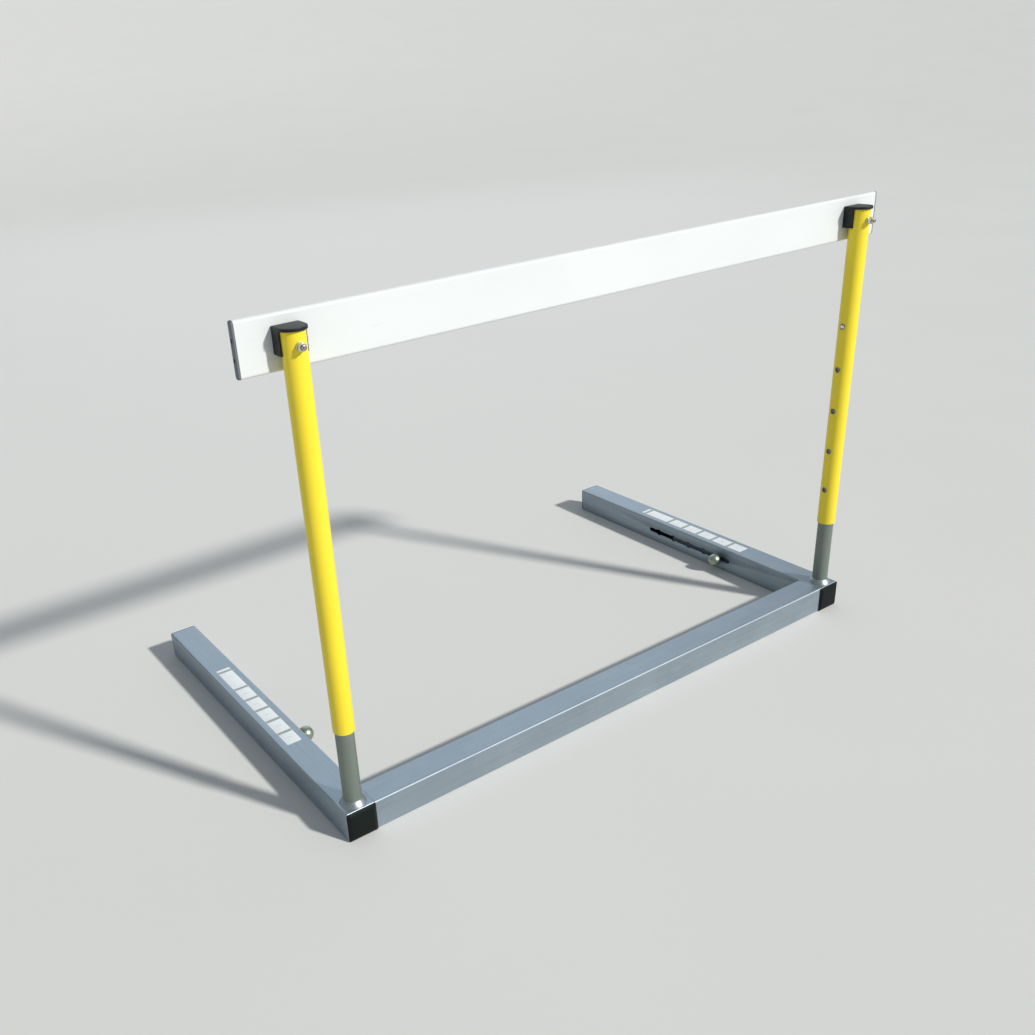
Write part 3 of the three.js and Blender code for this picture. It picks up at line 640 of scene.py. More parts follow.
def prism(outline, start, end, place):
    """A closed prism of a flat outline along the placing function's first axis."""
    shell = Shell(place)
    shell.solid([(start, outline), (end, outline)])
    return shell.close()


# Recipes for what repeats or follows a path

class Recipe(Bench):
    """A Geometry Nodes tree with named inputs."""

    def __init__(self, name, **inputs):
        super().__init__(bpy.data.node_groups.new(name, "GeometryNodeTree"))
        self.opened("Geometry", "OUTPUT", "Geometry")
        self.opened("Geometry", "INPUT", "Geometry")
        self.keys = {key: self.opened(key, "INPUT", kind) for key, kind in inputs.items()}

    def opened(self, name, way, kind):
        """The identifier of a new socket of the tree."""
        interface = self.tree.interface
        return interface.new_socket(name, in_out=way, socket_type=f"NodeSocket{kind}").identifier

    def given(self, name):
        return self.node("NodeGroupInput", out=name)

    def end(self, geometry):
        """Realises what the tree has made, gives it its finish and ends the tree."""
        whole = self.node("GeometryNodeRealizeInstances", None, {0: geometry})
        done = self.node("GeometryNodeSetMaterial", None,
                         {"Geometry": whole, "Material": self.given("Finish")})
        self.node("NodeGroupOutput", None, {0: done})
        return self

    def make(self, data, **values):
        """The plain mesh that the tree makes of a mesh, its faces turned out."""
        holder = in_scene("recipe", data)
        modifier = holder.modifiers.new("Recipe", "NODES")
        modifier.node_group = self.tree
        for key, value in values.items():
            modifier[self.keys[key]] = value
        result = as_mesh(holder)
        whole = bmesh.new()
        whole.from_mesh(result)
        bmesh.ops.recalc_face_normals(whole, faces=whole.faces)
        whole.to_mesh(result)
        whole.free()
        return result


def path_mesh(points, loop=False):
    """Points joined by edges, as the path of a recipe."""
    data = bpy.data.meshes.new("path")
    edges = [(i, i + 1) for i in range(len(points) - 1)] + ([(len(points) - 1, 0)] if loop else [])
    data.from_pydata([Vector(point) * MM for point in points], edges, [])
    return data


def weld_recipe():
    """A full fillet along a path in a corner, swelling with each pool of the weld. It reaches
    out along the path's normal, which is level, and up across both."""
    recipe = Recipe("weld_fillet", Out="Float", Up="Float", Pool="Float", Finish="Material")
    out, up, pool = [recipe.given(name) for name in ("Out", "Up", "Pool")]
    curve = recipe.node("GeometryNodeMeshToCurve", None, {"Mesh": recipe.given("Geometry")})
    curve = recipe.node("GeometryNodeResampleCurve", {"mode": "LENGTH"},
                        {"Curve": curve, "Length": pool * 0.125})
    swell = abs((recipe.node("GeometryNodeSplineParameter", out="Length") / pool) % 1.0 - 0.5)
    noise = recipe.node("ShaderNodeTexNoise", None, {"Scale": 180.0, "Detail": 2.0})
    size = (1.01 - swell * swell * 0.3) * (0.93 + noise * 0.14)
    curve = recipe.node("GeometryNodeSetCurveRadius", None, {"Curve": curve, "Radius": size})
    curve = recipe.node("GeometryNodeSetCurveNormal", {"mode": "Z_UP"}, {"Curve": curve})
    corners = {}
    section = ((0, 0), (1, 0), (WELD_FULLNESS, WELD_FULLNESS), (0, 1))
    for place, (level, rise) in enumerate(section, 1):
        corners[f"Point {place}"] = recipe.node("ShaderNodeCombineXYZ", None,
                                                {0: out * level, 1: up * -rise})
    section = recipe.node("GeometryNodeCurvePrimitiveQuadrilateral", {"mode": "POINTS"}, corners)
    return recipe.end(recipe.node("GeometryNodeCurveToMesh", None, {
        "Curve": curve, "Profile Curve": section, "Fill Caps": True}))


def thread_recipe():
    """A helical ridge about the Z axis."""
    recipe = Recipe("thread_ridge", Radius="Float", Pitch="Float", Turns="Float", Finish="Material")
    radius, pitch, turns = [recipe.given(name) for name in ("Radius", "Pitch", "Turns")]
    helix = recipe.node("GeometryNodeCurveSpiral", None, {
        "Resolution": 28, "Rotations": turns, "Start Radius": radius, "End Radius": radius,
        "Height": pitch * turns})
    section = recipe.node("GeometryNodeCurvePrimitiveCircle", None,
                          {"Resolution": 3, "Radius": pitch * 0.5})
    return recipe.end(recipe.node("GeometryNodeCurveToMesh", None, {
        "Curve": helix, "Profile Curve": section, "Fill Caps": True}))


def line_recipe():
    """A thin printed bar at each point."""
    recipe = Recipe("printed_lines", Length="Float", Width="Float", Finish="Material")
    size = recipe.node("ShaderNodeCombineXYZ", None, {
        0: recipe.given("Length"), 1: recipe.given("Width"), 2: 0.00004})
    bar = recipe.node("GeometryNodeMeshCube", None, {"Size": size})
    points = recipe.node("GeometryNodeMeshToPoints", None, {"Mesh": recipe.given("Geometry")})
    return recipe.end(recipe.node("GeometryNodeInstanceOnPoints", None,
                                  {"Points": points, "Instance": bar}))


# Pieces

def mm_box(node):
    """The low and high corners of a CAD node and its middle, in millimetres."""
    low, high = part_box(node)
    low, high = low / MM, high / MM
    return low, high, (low + high) / 2


class Side:
    """One side of the hurdle: its places in millimetres. Out is away from the other side."""

    def __init__(self, name, out):
        self.name, self.out = name, out
        self.inwards = TUBE_SIDES // 2 if out > 0 else 0  # the tube side that faces the other upright
        self.leg_low, self.leg_high, _ = self.box("leg")
        self.tube_low, self.tube_high, _ = self.box("outer_tube")
        self.x = (self.leg_low.x + self.leg_high.x) / 2
        self.tube_y = (self.tube_low.y + self.tube_high.y) / 2
        self.bolt_z, self.button_z = [self.box(piece)[2].z for piece in ("board_nut", "snap_button")]

    def node(self, piece):
        return f"{self.name}_{piece}"

    def box(self, piece):
        return mm_box(self.node(piece))

    def upwards(self, along, across, depth):
        """Places (along, across, depth), with along running up this side's upright."""
        return self.x + across, self.tube_y + depth, along

    def bolt_hole(self, start, end):
        """What the drill takes out for the board's bolt, from one y to another."""
        return prism(circle(BOLT_RADIUS + BOLT_ROOM, 32), start, end, backwards(self.x, self.bolt_z))

    def settle(self, name, data, finish, body, slot, *pieces):
        """Settles a piece of this side, named without the side."""
        settle(self.node(name), data, finish, body, slot, *map(self.node, pieces))


def square_tube(shell, start, end, first_notch=None):
    """Square tube along the shell's first axis, its rims eased. The notched slot, given by the
    place of its first notch, opens the wall on the outline's right side."""
    insets = (0, RIM_EASE, TUBE_WALL, TUBE_WALL - BORE_EASE)
    outer, eased, inner, widened = [
        round_box(TUBE - 2 * inset, TUBE - 2 * inset, TUBE_CORNER - inset) for inset in insets]
    rings = shell.rings(both_ends([(0, eased), (RIM_EASE, outer), (RIM_HOLD, outer)], start, end)
                        + both_ends([(0, widened), (BORE_RIM, inner), (BORE_HOLD, inner)], end, start))
    rings.append(rings[0])
    right = len(outer) - 1
    long_runs = (2, 8)  # outside and inside
    slotted = first_notch is not None
    for run, pair in enumerate(zip(rings, rings[1:])):
        shell.skin(pair, {right} if slotted and run in long_runs else ())
    if slotted:
        lips = both_ends(SLOT_LIP, TUBE / 2, TUBE / 2 - TUBE_WALL)
        loops = [shell.ring([(along, depth, rise) for along, rise in slot_outline(first_notch, extra)])
                 for depth, extra in lips]
        shell.skin(loops)
        for run, loop in zip(long_runs, (loops[0], loops[-1])):
            near, far = rings[run], rings[run + 1]
            shell.plate([near[right], near[0], far[0], far[right]], [loop])


def make_leg(side, finish):
    """Leg with the notched slot in the wall that looks at the other leg."""
    low, high, middle = side.box("leg")
    shell = Shell(lambda along, right, rise: (side.x - side.out * right, along, middle.z + rise))
    square_tube(shell, low.y, high.y, side.box("knob")[2].y)
    side.settle("leg_tube", shell.close(), finish, "base", "galvanised_steel", "leg")


def make_beam(finish):
    """Cross beam between the legs."""
    low, high, middle = mm_box("cross_beam")
    shell = Shell(sideways(0, middle.y, middle.z))
    square_tube(shell, low.x, high.x)
    settle("cross_beam_tube", shell.close(), finish, "base", "galvanised_steel", "cross_beam")


def make_leg_cap(side, end, finish):
    """Plug cap: a dished, soft-edged face, and a barbed skirt inside the tube."""
    low, high, middle = side.box(f"{end}_leg_cap")
    face, way = (low.y, 1) if end == "front" else (high.y, -1)
    flange = high.x - low.x
    levels = [  # side, corner radius, depth behind the face
        (37.0, 2.0, 0.0), (38.2, 2.1, 0.03), (39.4, 2.2, 0.15), (40.6, 2.3, 0.4), (45.6, 2.7, 1.7),
        (47.4, 2.9, 2.2), (48.6, 3.0, 2.6), (flange, 3.0, 3.0), (flange, 3.0, 3.3), (48.9, 2.8, 3.5),
        (44.4, 1.0, 3.5), (44.2, 1.0, 3.7), (44.2, 1.0, 8.5), (45.4, 1.0, 8.6), (45.4, 1.0, 9.4),
        (44.2, 1.0, 10.4), (44.2, 1.0, 13.5), (45.4, 1.0, 13.6), (45.4, 1.0, 14.4), (44.2, 1.0, 15.4),
        (44.2, 1.0, 19.2), (43.8, 1.0, 19.5), (40.6, 1.0, 19.5), (40.2, 1.0, 19.2), (40.2, 1.0, 3.6),
    ]
    shell = Shell(backwards(middle.x, middle.z, face, way))
    shell.solid([(depth, round_box(width, width, corner, 6, 0.3)) for width, corner, depth in levels])
    side.settle(f"{end}_plug_cap", shell.close(), finish, "base", "black_plastic", f"{end}_leg_cap")


def drilled_tube(shell, outer, low, high, holes, reach):
    """Round tube up the shell's first axis with clean drilled holes. Each hole is its side
    (0 for the first across axis, counted in tube sides), its height and its radius. The fine
    mesh round a hole reaches this many tube sides each way."""
    inner = outer - UPRIGHT_WALL
    step = 2 * math.pi / TUBE_SIDES
    half = HOLE_RADIUS + HOLE_BORDER
    rows = [low + END_MARGIN, high - END_MARGIN]
    for height in {height for _, height, _ in holes}:
        rows += [height - half + half * 2 * i / (HOLE_ROWS - 1) for i in range(HOLE_ROWS)]
    rows = sorted(rows)
    walls = {radius: shell.rings([(row, spun(radius, TUBE_SIDES)) for row in rows])
             for radius in (outer, inner)}
    for grid in walls.values():
        for level, pair in enumerate(zip(grid, grid[1:])):
            middle = (rows[level] + rows[level + 1]) / 2
            shell.skin(pair, {(side + i) % TUBE_SIDES for side, height, _ in holes
                              for i in range(-reach, reach) if abs(middle - height) < half})
    for side, height, size in holes:
        turn = step * side
        out = Vector((math.cos(turn), math.sin(turn)))
        tangent = Vector((-math.sin(turn), math.cos(turn)))
        first = min(range(len(rows)), key=lambda i: abs(rows[i] - (height - half)))
        last = first + HOLE_ROWS - 1
        border = [(first, i) for i in range(-reach, reach + 1)]
        border += [(level, reach) for level in range(first + 1, last)]
        border += [(last, i) for i in range(reach, -reach - 1, -1)]
        border += [(level, -reach) for level in range(last - 1, first, -1)]

        def hole_ring(radius, size, rise):
            points = []
            for level, i in border:
                way = math.atan2(rows[level] - height, outer * math.sin(step * i))
                across = size * math.cos(way)
                flat = out * (math.sqrt(radius ** 2 - across ** 2) + rise) + tangent * across
                points.append((height + size * math.sin(way), flat.x, flat.y))
            return shell.ring(points)

        edges = {radius: [grid[level][(side + i) % TUBE_SIDES] for level, i in border]
                 for radius, grid in walls.items()}
        lip = [hole_ring(outer, size + wider, rise) for wider, rise in HOLE_LIP]
        back = [hole_ring(inner, size + wider, rise) for wider, rise in HOLE_BACK]
        shell.skin([edges[outer], *lip, *back, edges[inner]])
    rim = [(outer + wider, depth) for wider, depth in TUBE_RIM]
    rim += [(inner + wider, depth) for wider, depth in BORE_LIP]
    for row, end, way in ((0, low, 1), (-1, high, -1)):
        rings = shell.rings([(end + way * depth, spun(radius, TUBE_SIDES)) for radius, depth in rim])
        shell.skin([walls[outer][row], *rings, walls[inner][row]])


def make_outer_tube(side, finish):
    """Outer tube with its row of height holes and the board bolt's hole."""
    holes = [(side.inwards, side.button_z - step * HOLE_PITCH, HOLE_RADIUS) for step in range(HOLES)]
    holes += [(turn * TUBE_SIDES // 4, side.bolt_z, BOLT_RADIUS + BOLT_ROOM) for turn in (1, 3)]
    shell = Shell(side.upwards)
    drilled_tube(shell, OUTER_RADIUS, side.tube_low.z, side.tube_high.z, holes, 6)
    side.settle("yellow_tube", shell.close(), finish, "upper_frame", "yellow_paint", "outer_tube")


def make_inner_tube(side, finish):
    """Inner tube with the snap button's hole."""
    low, high, _ = side.box("inner_tube")
    shell = Shell(side.upwards)
    drilled_tube(shell, INNER_RADIUS, low.z, high.z, [(side.inwards, side.button_z, HOLE_RADIUS)], 7)
    side.settle("grey_tube", shell.close(), finish, "base", "grey_steel", "inner_tube")


def make_snap_button(side, finish):
    """Snap button, its domed tip out through both tubes."""
    low, high, middle = side.box("snap_button")
    head = (high.y - low.y) / 2
    back = min(abs(side.x - low.x), abs(side.x - high.x))
    shoulder = OUTER_RADIUS + BUTTON_PROUD - BUTTON_DOME
    profile = softened([(0, back), (head, back), (head, back + BUTTON_HEAD),
                        (BUTTON_RADIUS, back + BUTTON_HEAD), (BUTTON_RADIUS, shoulder)], BUTTON_EDGE)
    shell = Shell(sideways(side.x, middle.y, middle.z, -side.out))
    shell.turned(profile + dome(BUTTON_RADIUS, shoulder, BUTTON_DOME, 10)[1:])
    side.settle("button", shell.close(), finish, side.node("button"), "bright_steel", "snap_button")


def make_knob(side, finish):
    """Ball knob with a flat foot, bored for its stem."""
    low, high, middle = side.box("knob")
    radius, length = (high.y - low.y) / 2, high.x - low.x
    bore = STEM_RADIUS + KNOB_BORE_GAP
    foot_turn = 180 - math.degrees(math.acos((length - radius) / radius))
    ball = [(out, along) for along, out in arc(length - radius, 0, radius, 0, foot_turn, 40)]
    foot = ball[-1][0]
    shell = Shell(sideways(high.x if side.out > 0 else low.x, middle.y, middle.z, -side.out))
    shell.turned([*ball[:-1], (foot, 0.02), (foot - KNOB_EDGE, 0), (bore + KNOB_EDGE, 0),
                  (bore, KNOB_BORE_EDGE), (bore, KNOB_BORE_DEPTH), (0, KNOB_BORE_DEPTH)], 72)
    side.settle("ball_knob", shell.close(), finish, side.node("latch"), "bright_steel", "knob")


def make_plunger(side, finish):
    """Stem with its head behind the spring and the collar that seats in a notch."""
    low, high, middle = side.box("plunger")
    face = side.x - side.out * TUBE / 2
    start, back = sorted(((low.x - face) * side.out, (high.x - face) * side.out))
    shell = Shell(sideways(face, middle.y, middle.z, side.out))
    shell.turned(softened([
        (0, start), (STEM_RADIUS, start), (STEM_RADIUS, COLLAR_START),
        (COLLAR_RADIUS, COLLAR_START), (COLLAR_RADIUS, COLLAR_END), (STEM_RADIUS, COLLAR_END),
        (STEM_RADIUS, back - HEAD_LENGTH), (HEAD_RADIUS, back - HEAD_LENGTH),
        (HEAD_RADIUS, back), (0, back)], TURNED_EDGE), 40)
    side.settle("plunger_pin", shell.close(), finish, side.node("latch"), "bright_steel", "plunger")


def make_bolt(side, finish, thread):
    """Carriage bolt: domed head and square neck behind, threaded end in front."""
    low, high, middle = side.box("board_bolt")
    head, core, neck = (high.x - low.x) / 2, BOLT_RADIUS - THREAD_DEPTH, 2 * BOLT_RADIUS
    head_start = mm_box("board")[1].y + HEAD_GAP
    rim = head_start + HEAD_RIM
    smooth = low.y + THREAD_LENGTH
    shell = Shell(backwards(middle.x, middle.z))
    point_in, point_length = BOLT_POINT
    shell.turned([(0, low.y), (core - point_in, low.y), (core, low.y + point_length),
                  (core, smooth), (BOLT_RADIUS, smooth + THREAD_RUNOUT), (BOLT_RADIUS, head_start),
                  (head - HEAD_UNDERCUT, head_start), *dome(head, rim, high.y - rim, 16)], 40)
    neck_start, (ease_in, ease_length) = head_start - NECK_LENGTH, NECK_EASE
    levels = ((neck_start, neck - ease_in), (neck_start + ease_length, neck), (rim, neck))
    shell.solid([(along, round_box(size, size, 0.5, 3, 0.3)) for along, size in levels])
    turns = (THREAD_LENGTH - 2 * THREAD_MARGIN) / THREAD_PITCH
    ridge = thread.make(path_mesh([(0, 0, 0)]), Radius=(core + 0.02) * MM, Pitch=THREAD_PITCH * MM,
                        Turns=turns, Finish=finish)
    start = Vector((middle.x, low.y + THREAD_MARGIN, middle.z)) * MM
    ridge.transform(Matrix.Translation(start) @ Matrix.Rotation(math.radians(-90), 4, "X"))
    side.settle("carriage_bolt", joined(shell.close(), ridge), finish, "upper_frame", "bright_steel",
                "board_bolt")


def make_washer(side, finish):
    """Flat washer, stamped with soft edges."""
    low, high, middle = side.box("board_washer")
    radius, bore = (high.x - low.x) / 2, BOLT_RADIUS + WASHER_ROOM
    shell = Shell(backwards(middle.x, middle.z))
    shell.turned(softened([(bore, middle.y), (bore, low.y), (radius, low.y), (radius, high.y),
                           (bore, high.y), (bore, middle.y)], TURNED_EDGE), 56)
    side.settle("plain_washer", shell.close(), finish, "upper_frame", "bright_steel", "board_washer")


def make_nut(side, finish):
    """Hexagon nut, its corners cut by the chamfer's cone."""
    low, high, middle = side.box("board_nut")
    flat, bore = (high.x - low.x) / 2, BOLT_RADIUS + NUT_ROOM
    chamfered = (high.z - low.z) / 2 - NUT_CHAMFER
    shapes = [  # depth under a face; widest radius, and the fall of its corners
        (middle.y - low.y, (bore, 0)), (0.5, (bore, 0)), (0, (bore + 0.5, 0)),
        (0, (chamfered - 0.3, 0)), (0.05, (chamfered, 0)), (0.12, (math.inf, 0.6)),
    ]
    shell = Shell(backwards(middle.x, middle.z))
    rings = []
    for place, (along, (widest, fall)) in enumerate(both_ends(shapes, low.y, high.y)):
        way = 1 if place < len(shapes) else -1
        points = []
        for degrees in range(0, 360, 5):
            hexagon = flat / math.cos(math.radians((degrees - 90) % 60 - 30))
            radius, turn = min(hexagon, widest), math.radians(degrees)
            points.append((along + way * fall * max(0, hexagon - chamfered),
                           radius * math.cos(turn), radius * math.sin(turn)))
        rings.append(shell.ring(points))
    shell.skin(rings)
    side.settle("hexagon_nut", shell.close(), finish, "upper_frame", "bright_steel", "board_nut")


def make_saddle(side, finish):
    """Saddle: a plate over the tube's end, and cheeks round its rear half."""
    low, high, _ = side.box("saddle")
    back = high.y - side.tube_y - SADDLE_CORNER
    reach = SADDLE_RADIUS - SADDLE_CORNER
    outline = arc(0, 0, SADDLE_RADIUS, 180, 360, 48)
    outline += arc(reach, back, SADDLE_CORNER, 0, 90, 8) + arc(-reach, back, SADDLE_CORNER, 90, 180, 8)
    levels = [  # height; how far the outline is pulled in
        (low.z, 0.4), (low.z + 0.12, 0.12), (low.z + 0.4, 0), (high.z - 0.9, 0),
        (high.z - 0.5, 0.12), (high.z - 0.15, 0.45), (high.z, 1.0),
    ]
    shell = Shell(side.upwards)
    shell.solid([(level, scaled(outline, 1 - amount / SADDLE_RADIUS)) for level, amount in levels])
    start, end = low.z - OVERRUN, high.z - SADDLE_PLATE
    room = prism(circle(SADDLE_BORE, 96), start, end, side.upwards)
    front = prism([(-WIDE, -WIDE), (WIDE, -WIDE), (WIDE, 0), (-WIDE, 0)], start, end, side.upwards)
    hole = side.bolt_hole(side.tube_y, side.tube_y + WIDE)
    data = worked(cut(shell.close(), [room, front, hole]), "BEVEL", width=SADDLE_EDGE * MM,
                  segments=2, limit_method="ANGLE", angle_limit=math.radians(50))
    side.settle("tube_saddle", data, finish, "upper_frame", "black_plastic", "saddle")


def cell_outlines(height, depth, inset=0.0):
    """Outlines of the board's cells, or of the tongues that fill them."""
    cell = (height - 2 * BOARD_WALL - (BOARD_CELLS - 1) * BOARD_RIB) / BOARD_CELLS
    box = round_box(depth - 2 * BOARD_WALL - 2 * inset, cell - 2 * inset,
                    BOARD_CORNER - BOARD_WALL, 5)
    rises = [(place - (BOARD_CELLS - 1) / 2) * (cell + BOARD_RIB) for place in range(BOARD_CELLS)]
    return [[(x, z + rise) for x, z in box] for rise in rises]


def make_board(sides, finish):
    """Board: a white extrusion with three cells, drilled for its two bolts."""
    low, high, middle = mm_box("board")
    depth, height = high.y - low.y, high.z - low.z
    shell = Shell(sideways(0, middle.y, middle.z))
    outline = round_box(depth, height, BOARD_CORNER, 10, 0.6)
    outer = shell.rings([(along, outline) for along in (low.x, low.x + 1, high.x - 1, high.x)])
    cells = [shell.rings([(low.x, cell), (high.x, cell)]) for cell in cell_outlines(height, depth)]
    for rings in (outer, *cells):
        shell.skin(rings)
    for end in (0, -1):
        shell.plate(outer[end], [cell[end] for cell in cells])
    holes = [side.bolt_hole(low.y - OVERRUN, high.y + OVERRUN) for side in sides]
    settle("white_board", cut(shell.close(), holes), finish, "upper_frame", "white_board", "board")


def make_board_cap(side, finish):
    """End cap: a soft-edged flange with two sunk pockets, and a tongue in each cell."""
    low, high, middle = side.box("board_cap")
    depth, height = high.y - low.y, high.z - low.z
    shell = Shell(sideways(high.x if side.out > 0 else low.x, middle.y, middle.z, -side.out))
    levels = [  # depth behind the face; how far the edge is eased
        (0, 1.6), (0.1, 1.0), (0.4, 0.4), (0.9, 0.1), (1.3, 0), (2.85, 0), (CAP_FLANGE, 0.15),
    ]
    rings = shell.rings([(along, round_box(depth - 2 * ease, height - 2 * ease,
                                           BOARD_CORNER - ease, 10, 0.4)) for along, ease in levels])
    shell.skin(rings)
    tongues, pockets = [], []
    for outline in cell_outlines(height, depth, TONGUE_GAP):
        middle = sum((Vector(point) for point in outline), Vector((0, 0))) / len(outline)
        tip = [tuple(middle + (Vector(point) - middle) * TONGUE_TIP) for point in outline]
        tongues.append(shell.rings([(CAP_FLANGE, outline), (TONGUE_END - TONGUE_EASE, outline),
                                    (TONGUE_END, tip)]))
    for rise in (-height / 6, height / 6):
        box = round_box(POCKET_WIDTH, POCKET_HEIGHT, POCKET_CORNER, 5, 0.2)
        outline = [(x, z + rise) for x, z in box]
        inner = [(x * 0.86, z * 0.82 + rise) for x, z in box]
        pockets.append(shell.rings([(0, outline), (POCKET_EASE, inner), (POCKET_DEPTH, inner)]))
    for ring, hollows in ((rings[-1], tongues), (rings[0], pockets)):
        for hollow in hollows:
            shell.skin(hollow)
            shell.plate(hollow[-1])
        shell.plate(ring, [hollow[0] for hollow in hollows])
    side.settle("end_cap", shell.close(), finish, "upper_frame", "slate_plastic", "board_cap")


def make_welds(side, recipe, bead_finish, seam_finish):
    """The weld round an inner tube's foot, and the beam's welds to the leg: ground flush on
    the outer faces, left as a fillet in the inner corner."""

    def fillet(name, points, sizes, out_way, up_way, loop=False):
        out, up, pool = sizes
        data = recipe.make(path_mesh(points, loop), Out=out_way * out * MM, Up=up_way * up * MM,
                           Pool=pool * MM, Finish=bead_finish)
        side.settle(name, data, bead_finish, "base", "galvanised_steel")

    top = side.leg_high.z - WELD_ROOT
    ring = [(side.x + x, side.tube_y + y, top) for x, y in circle(INNER_RADIUS - WELD_ROOT, 72)]
    fillet("foot_weld", ring, FOOT_WELD, 1, 1, True)
    low, high, middle = mm_box("cross_beam")
    joint = high.x if side.out > 0 else low.x
    corner = [(joint + side.out * CORNER_ROOT, high.y - WELD_ROOT, z)
              for z in (low.z + CORNER_STOP, high.z - CORNER_STOP)]
    fillet("corner_weld", corner, CORNER_WELD, -side.out, -1)
    shown = [(y, z) for y, z in round_box(TUBE, TUBE, TUBE_CORNER)[10:]
             if y < TUBE / 2 - 0.01 and z > TUBE_CORNER - TUBE / 2]
    shell = Shell(sideways(joint, middle.y, middle.z, side.out))
    rings = shell.rings([(along, scaled(shown, 1 + lift * 2 / TUBE)) for along, lift in SEAM_LEVELS])
    shell.skin(rings, {len(shown) - 1})
    side.settle("flush_weld", shell.close(), seam_finish, "base", "galvanised_steel")


def make_label(side, vinyl, line_ink, figure_ink, lines):
    """Scale label on a leg's top: five height cells, a blank field and a heading strip."""
    top = side.leg_high.z
    start, end = LABEL_ENDS
    middle_y = (start + end) / 2
    levels = [(-0.02, 0), (0.06, 0), (LABEL_RISE, 0.12)]  # rise; how far the edge is eased
    shell = Shell(lambda rise, across, along: (side.x + across, middle_y + along, top + rise))
    shell.solid([(rise, round_box(LABEL_WIDTH - 2 * ease, end - start - 2 * ease,
                                  LABEL_CORNER - ease, 6, 0.3)) for rise, ease in levels])
    side.settle("scale_label", shell.close(), vinyl, "base", "galvanised_steel")
    points = path_mesh([(side.x, y, top + LINE_RISE) for y in LABEL_LINES])
    bars = lines.make(points, Length=(LABEL_WIDTH - 2 * LINE_MARGIN) * MM, Width=LINE_WIDTH * MM,
                      Finish=line_ink)
    side.settle("label_lines", bars, line_ink, "base", "galvanised_steel")
    cells = zip(HEIGHT_MARKS, (start, *LABEL_LINES), LABEL_LINES)
    marks = [numeral(text, side.x, (near + far) / 2, top + FIGURE_RISE) for text, near, far in cells]
    side.settle("height_marks", joined(*marks), figure_ink, "base", "galvanised_steel")


def numeral(text, x, y, z):
    """Printed figures, read from the front of the hurdle."""
    curve = bpy.data.curves.new("figures", "FONT")
    curve.body = text
    curve.size = FIGURE_SIZE * MM
    curve.align_x, curve.align_y = "CENTER", "CENTER"
    curve.extrude = 0.02 * MM
    data = as_mesh(in_scene("figures", curve))
    data.transform(Matrix.Translation(Vector((x, y, z)) * MM))
    return data


# Studio

def make_floor(finish):
    """Pale floor that rises gently far off."""
    shell = Shell(lambda rise, x, y: (x, y, rise))
    shell.turned([(0, 0), (7000, 0), (10000, 60), (14000, 300), (20000, 1000), (40000, 4600)], 96)
    data = shell.close()
    data.flip_normals()
    data.materials.append(finish)
    data.shade_smooth()
    in_scene("studio_floor", data)


def make_light(name, kind, way, strength, colour, sheen_only=False, **settings):
    """Soft light from a direction."""
    lamp = bpy.data.lights.new(name, kind)
    lamp.energy, lamp.color = strength, colour
    for key, value in settings.items():
        setattr(lamp, key, value)
    holder = in_scene(name, lamp)
    holder.visible_diffuse = not sheen_only
    direction = Vector(way).normalized()
    holder.location = Vector((0, 0, AIM_HEIGHT)) + direction * LIGHT_DISTANCE
    holder.rotation_euler = direction.to_track_quat("Z", "Y").to_euler()


def make_world():
    """Even cool studio surround."""
    world = bpy.data.worlds.new("studio")
    world.use_nodes = True
    background = world.node_tree.nodes["Background"]
    background.inputs[0].default_value = (*COOL, 1.0)
    background.inputs[1].default_value = 0.31
    bpy.context.scene.world = world


def make_camera():
    """Camera at the photograph's place and angle."""
    azimuth, elevation, roll = CAMERA_AZIMUTH, CAMERA_ELEVATION, CAMERA_ROLL
    back = Vector((math.sin(azimuth) * math.cos(elevation), -math.cos(azimuth) * math.cos(elevation),
                   math.sin(elevation)))
    level = Vector((math.cos(azimuth), math.sin(azimuth), 0))
    upright = back.cross(level)
    right = level * math.cos(roll) + upright * math.sin(roll)
    up = upright * math.cos(roll) - level * math.sin(roll)
    lens = bpy.data.cameras.new("camera")
    lens.lens, lens.sensor_width = CAMERA_LENS, 36
    lens.shift_x, lens.shift_y = CAMERA_SHIFT
    camera = in_scene("camera", lens)
    turned = Matrix((right, up, back)).transposed().to_4x4()
    camera.matrix_world = Matrix.Translation(CAMERA_PLACE) @ turned
    bpy.context.scene.camera = camera
    bpy.context.scene.view_settings.view_transform = "Standard"


make_camera()
make_world()
make_light("key_light", "SUN", SUN, 3.5, WARM, angle=0.07)
make_light("back_softbox", "AREA", (0.4, 0.75, 0.53), 165, COOL, sheen_only=True, size=7)
make_floor(studio_floor())

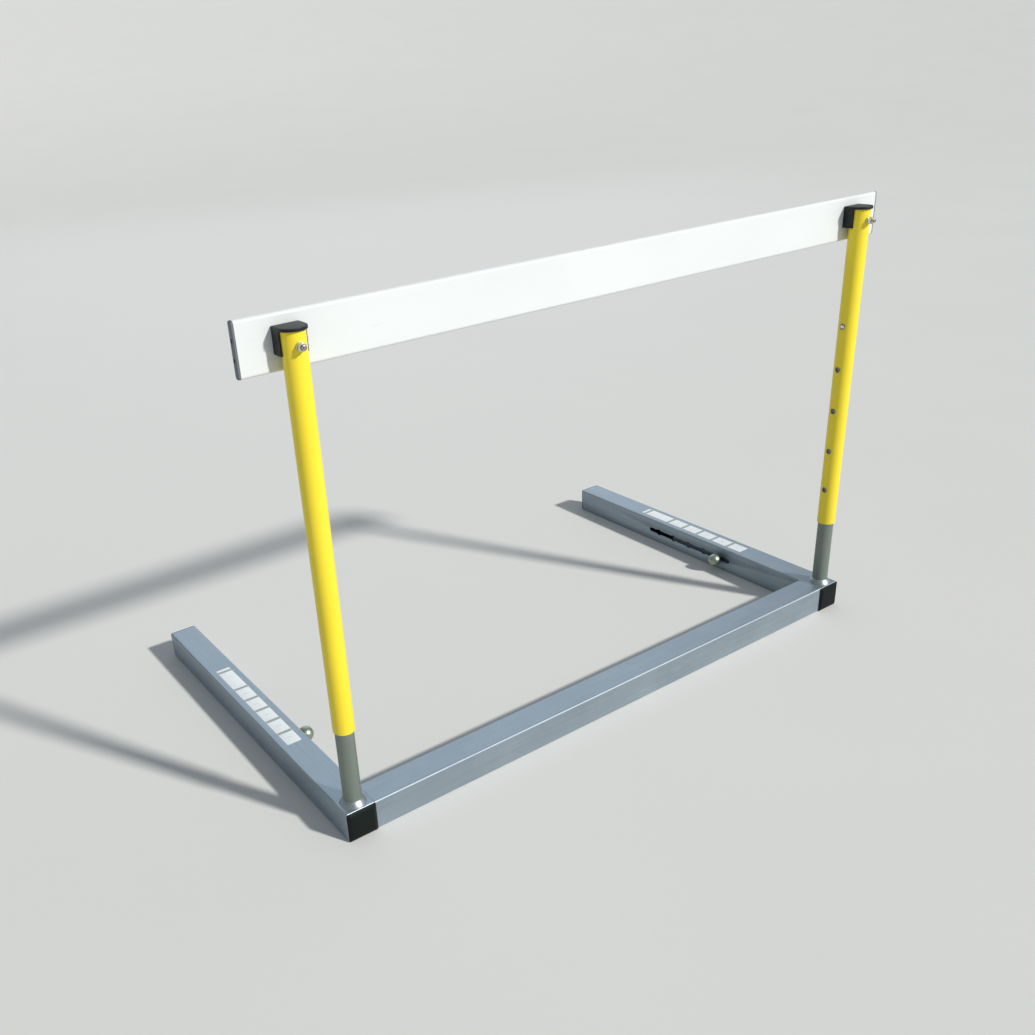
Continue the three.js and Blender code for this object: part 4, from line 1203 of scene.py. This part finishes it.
sides = [Side("left", -1), Side("right", 1)]
right = sides[1]
bolt_end = [place * MM for place in (right.x, right.box("board_bolt")[0].y, right.bolt_z)]
leg_zinc = zinc_plate("zinc_on_legs", "Y", right.x * MM)
beam_zinc = zinc_plate("zinc_on_beam", "X", mm_box("cross_beam")[2].y * MM)
yellow = yellow_coat(right.tube_y * MM, right.button_z * MM, right.tube_low.z * MM, right.x * MM)
grey, white, slate = drawn_tube(), white_board(), slate_moulding()
saddle_black = black_moulding("black_saddle_plastic", 0.32, 0.2)
cap_black = black_moulding("black_cap_plastic", 0.1, 0.04)
bright = plated("bright_plate", (0.62, 0.64, 0.66), (0.84, 0.84, 0.83), 0.17)
knob_plate = plated("hazed_knob_plate", (0.28, 0.32, 0.25), (0.44, 0.48, 0.40), 0.36)
nut_plate = plated("dull_nut_plate", (0.52, 0.54, 0.48), (0.74, 0.75, 0.68), 0.34)
bolt_plate = plated("stained_bolt_plate", (0.44, 0.45, 0.40), (0.66, 0.67, 0.61), 0.3, bolt_end)
bead, seam, bar, spring = weld_metal(), ground_seam(), mill_steel(), spring_steel()
vinyl = label_vinyl()
line_ink = print_ink("faded_line_print", (0.26, 0.31, 0.31), (0.42, 0.47, 0.47))
figure_ink = print_ink("faded_figure_print", (0.42, 0.43, 0.47), (0.62, 0.64, 0.67))
weld, thread, lines = weld_recipe(), thread_recipe(), line_recipe()

make_beam(beam_zinc)
make_board(sides, white)
for side in sides:
    make_leg(side, leg_zinc)
    make_leg_cap(side, "front", cap_black)
    make_leg_cap(side, "rear", cap_black)
    make_inner_tube(side, grey)
    make_outer_tube(side, yellow)
    make_snap_button(side, bright)
    make_knob(side, knob_plate)
    make_plunger(side, bright)
    make_bolt(side, bolt_plate, thread)
    make_washer(side, nut_plate)
    make_nut(side, nut_plate)
    make_saddle(side, saddle_black)
    make_board_cap(side, slate)
    make_welds(side, weld, bead, seam)
    make_label(side, vinyl, line_ink, figure_ink, lines)
    for piece, finish in (("counterweight", bar), ("plunger_spring", spring), ("button_clip", spring)):
        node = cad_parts[side.node(piece)]
        node.data.materials.clear()
        node.data.materials.append(finish)
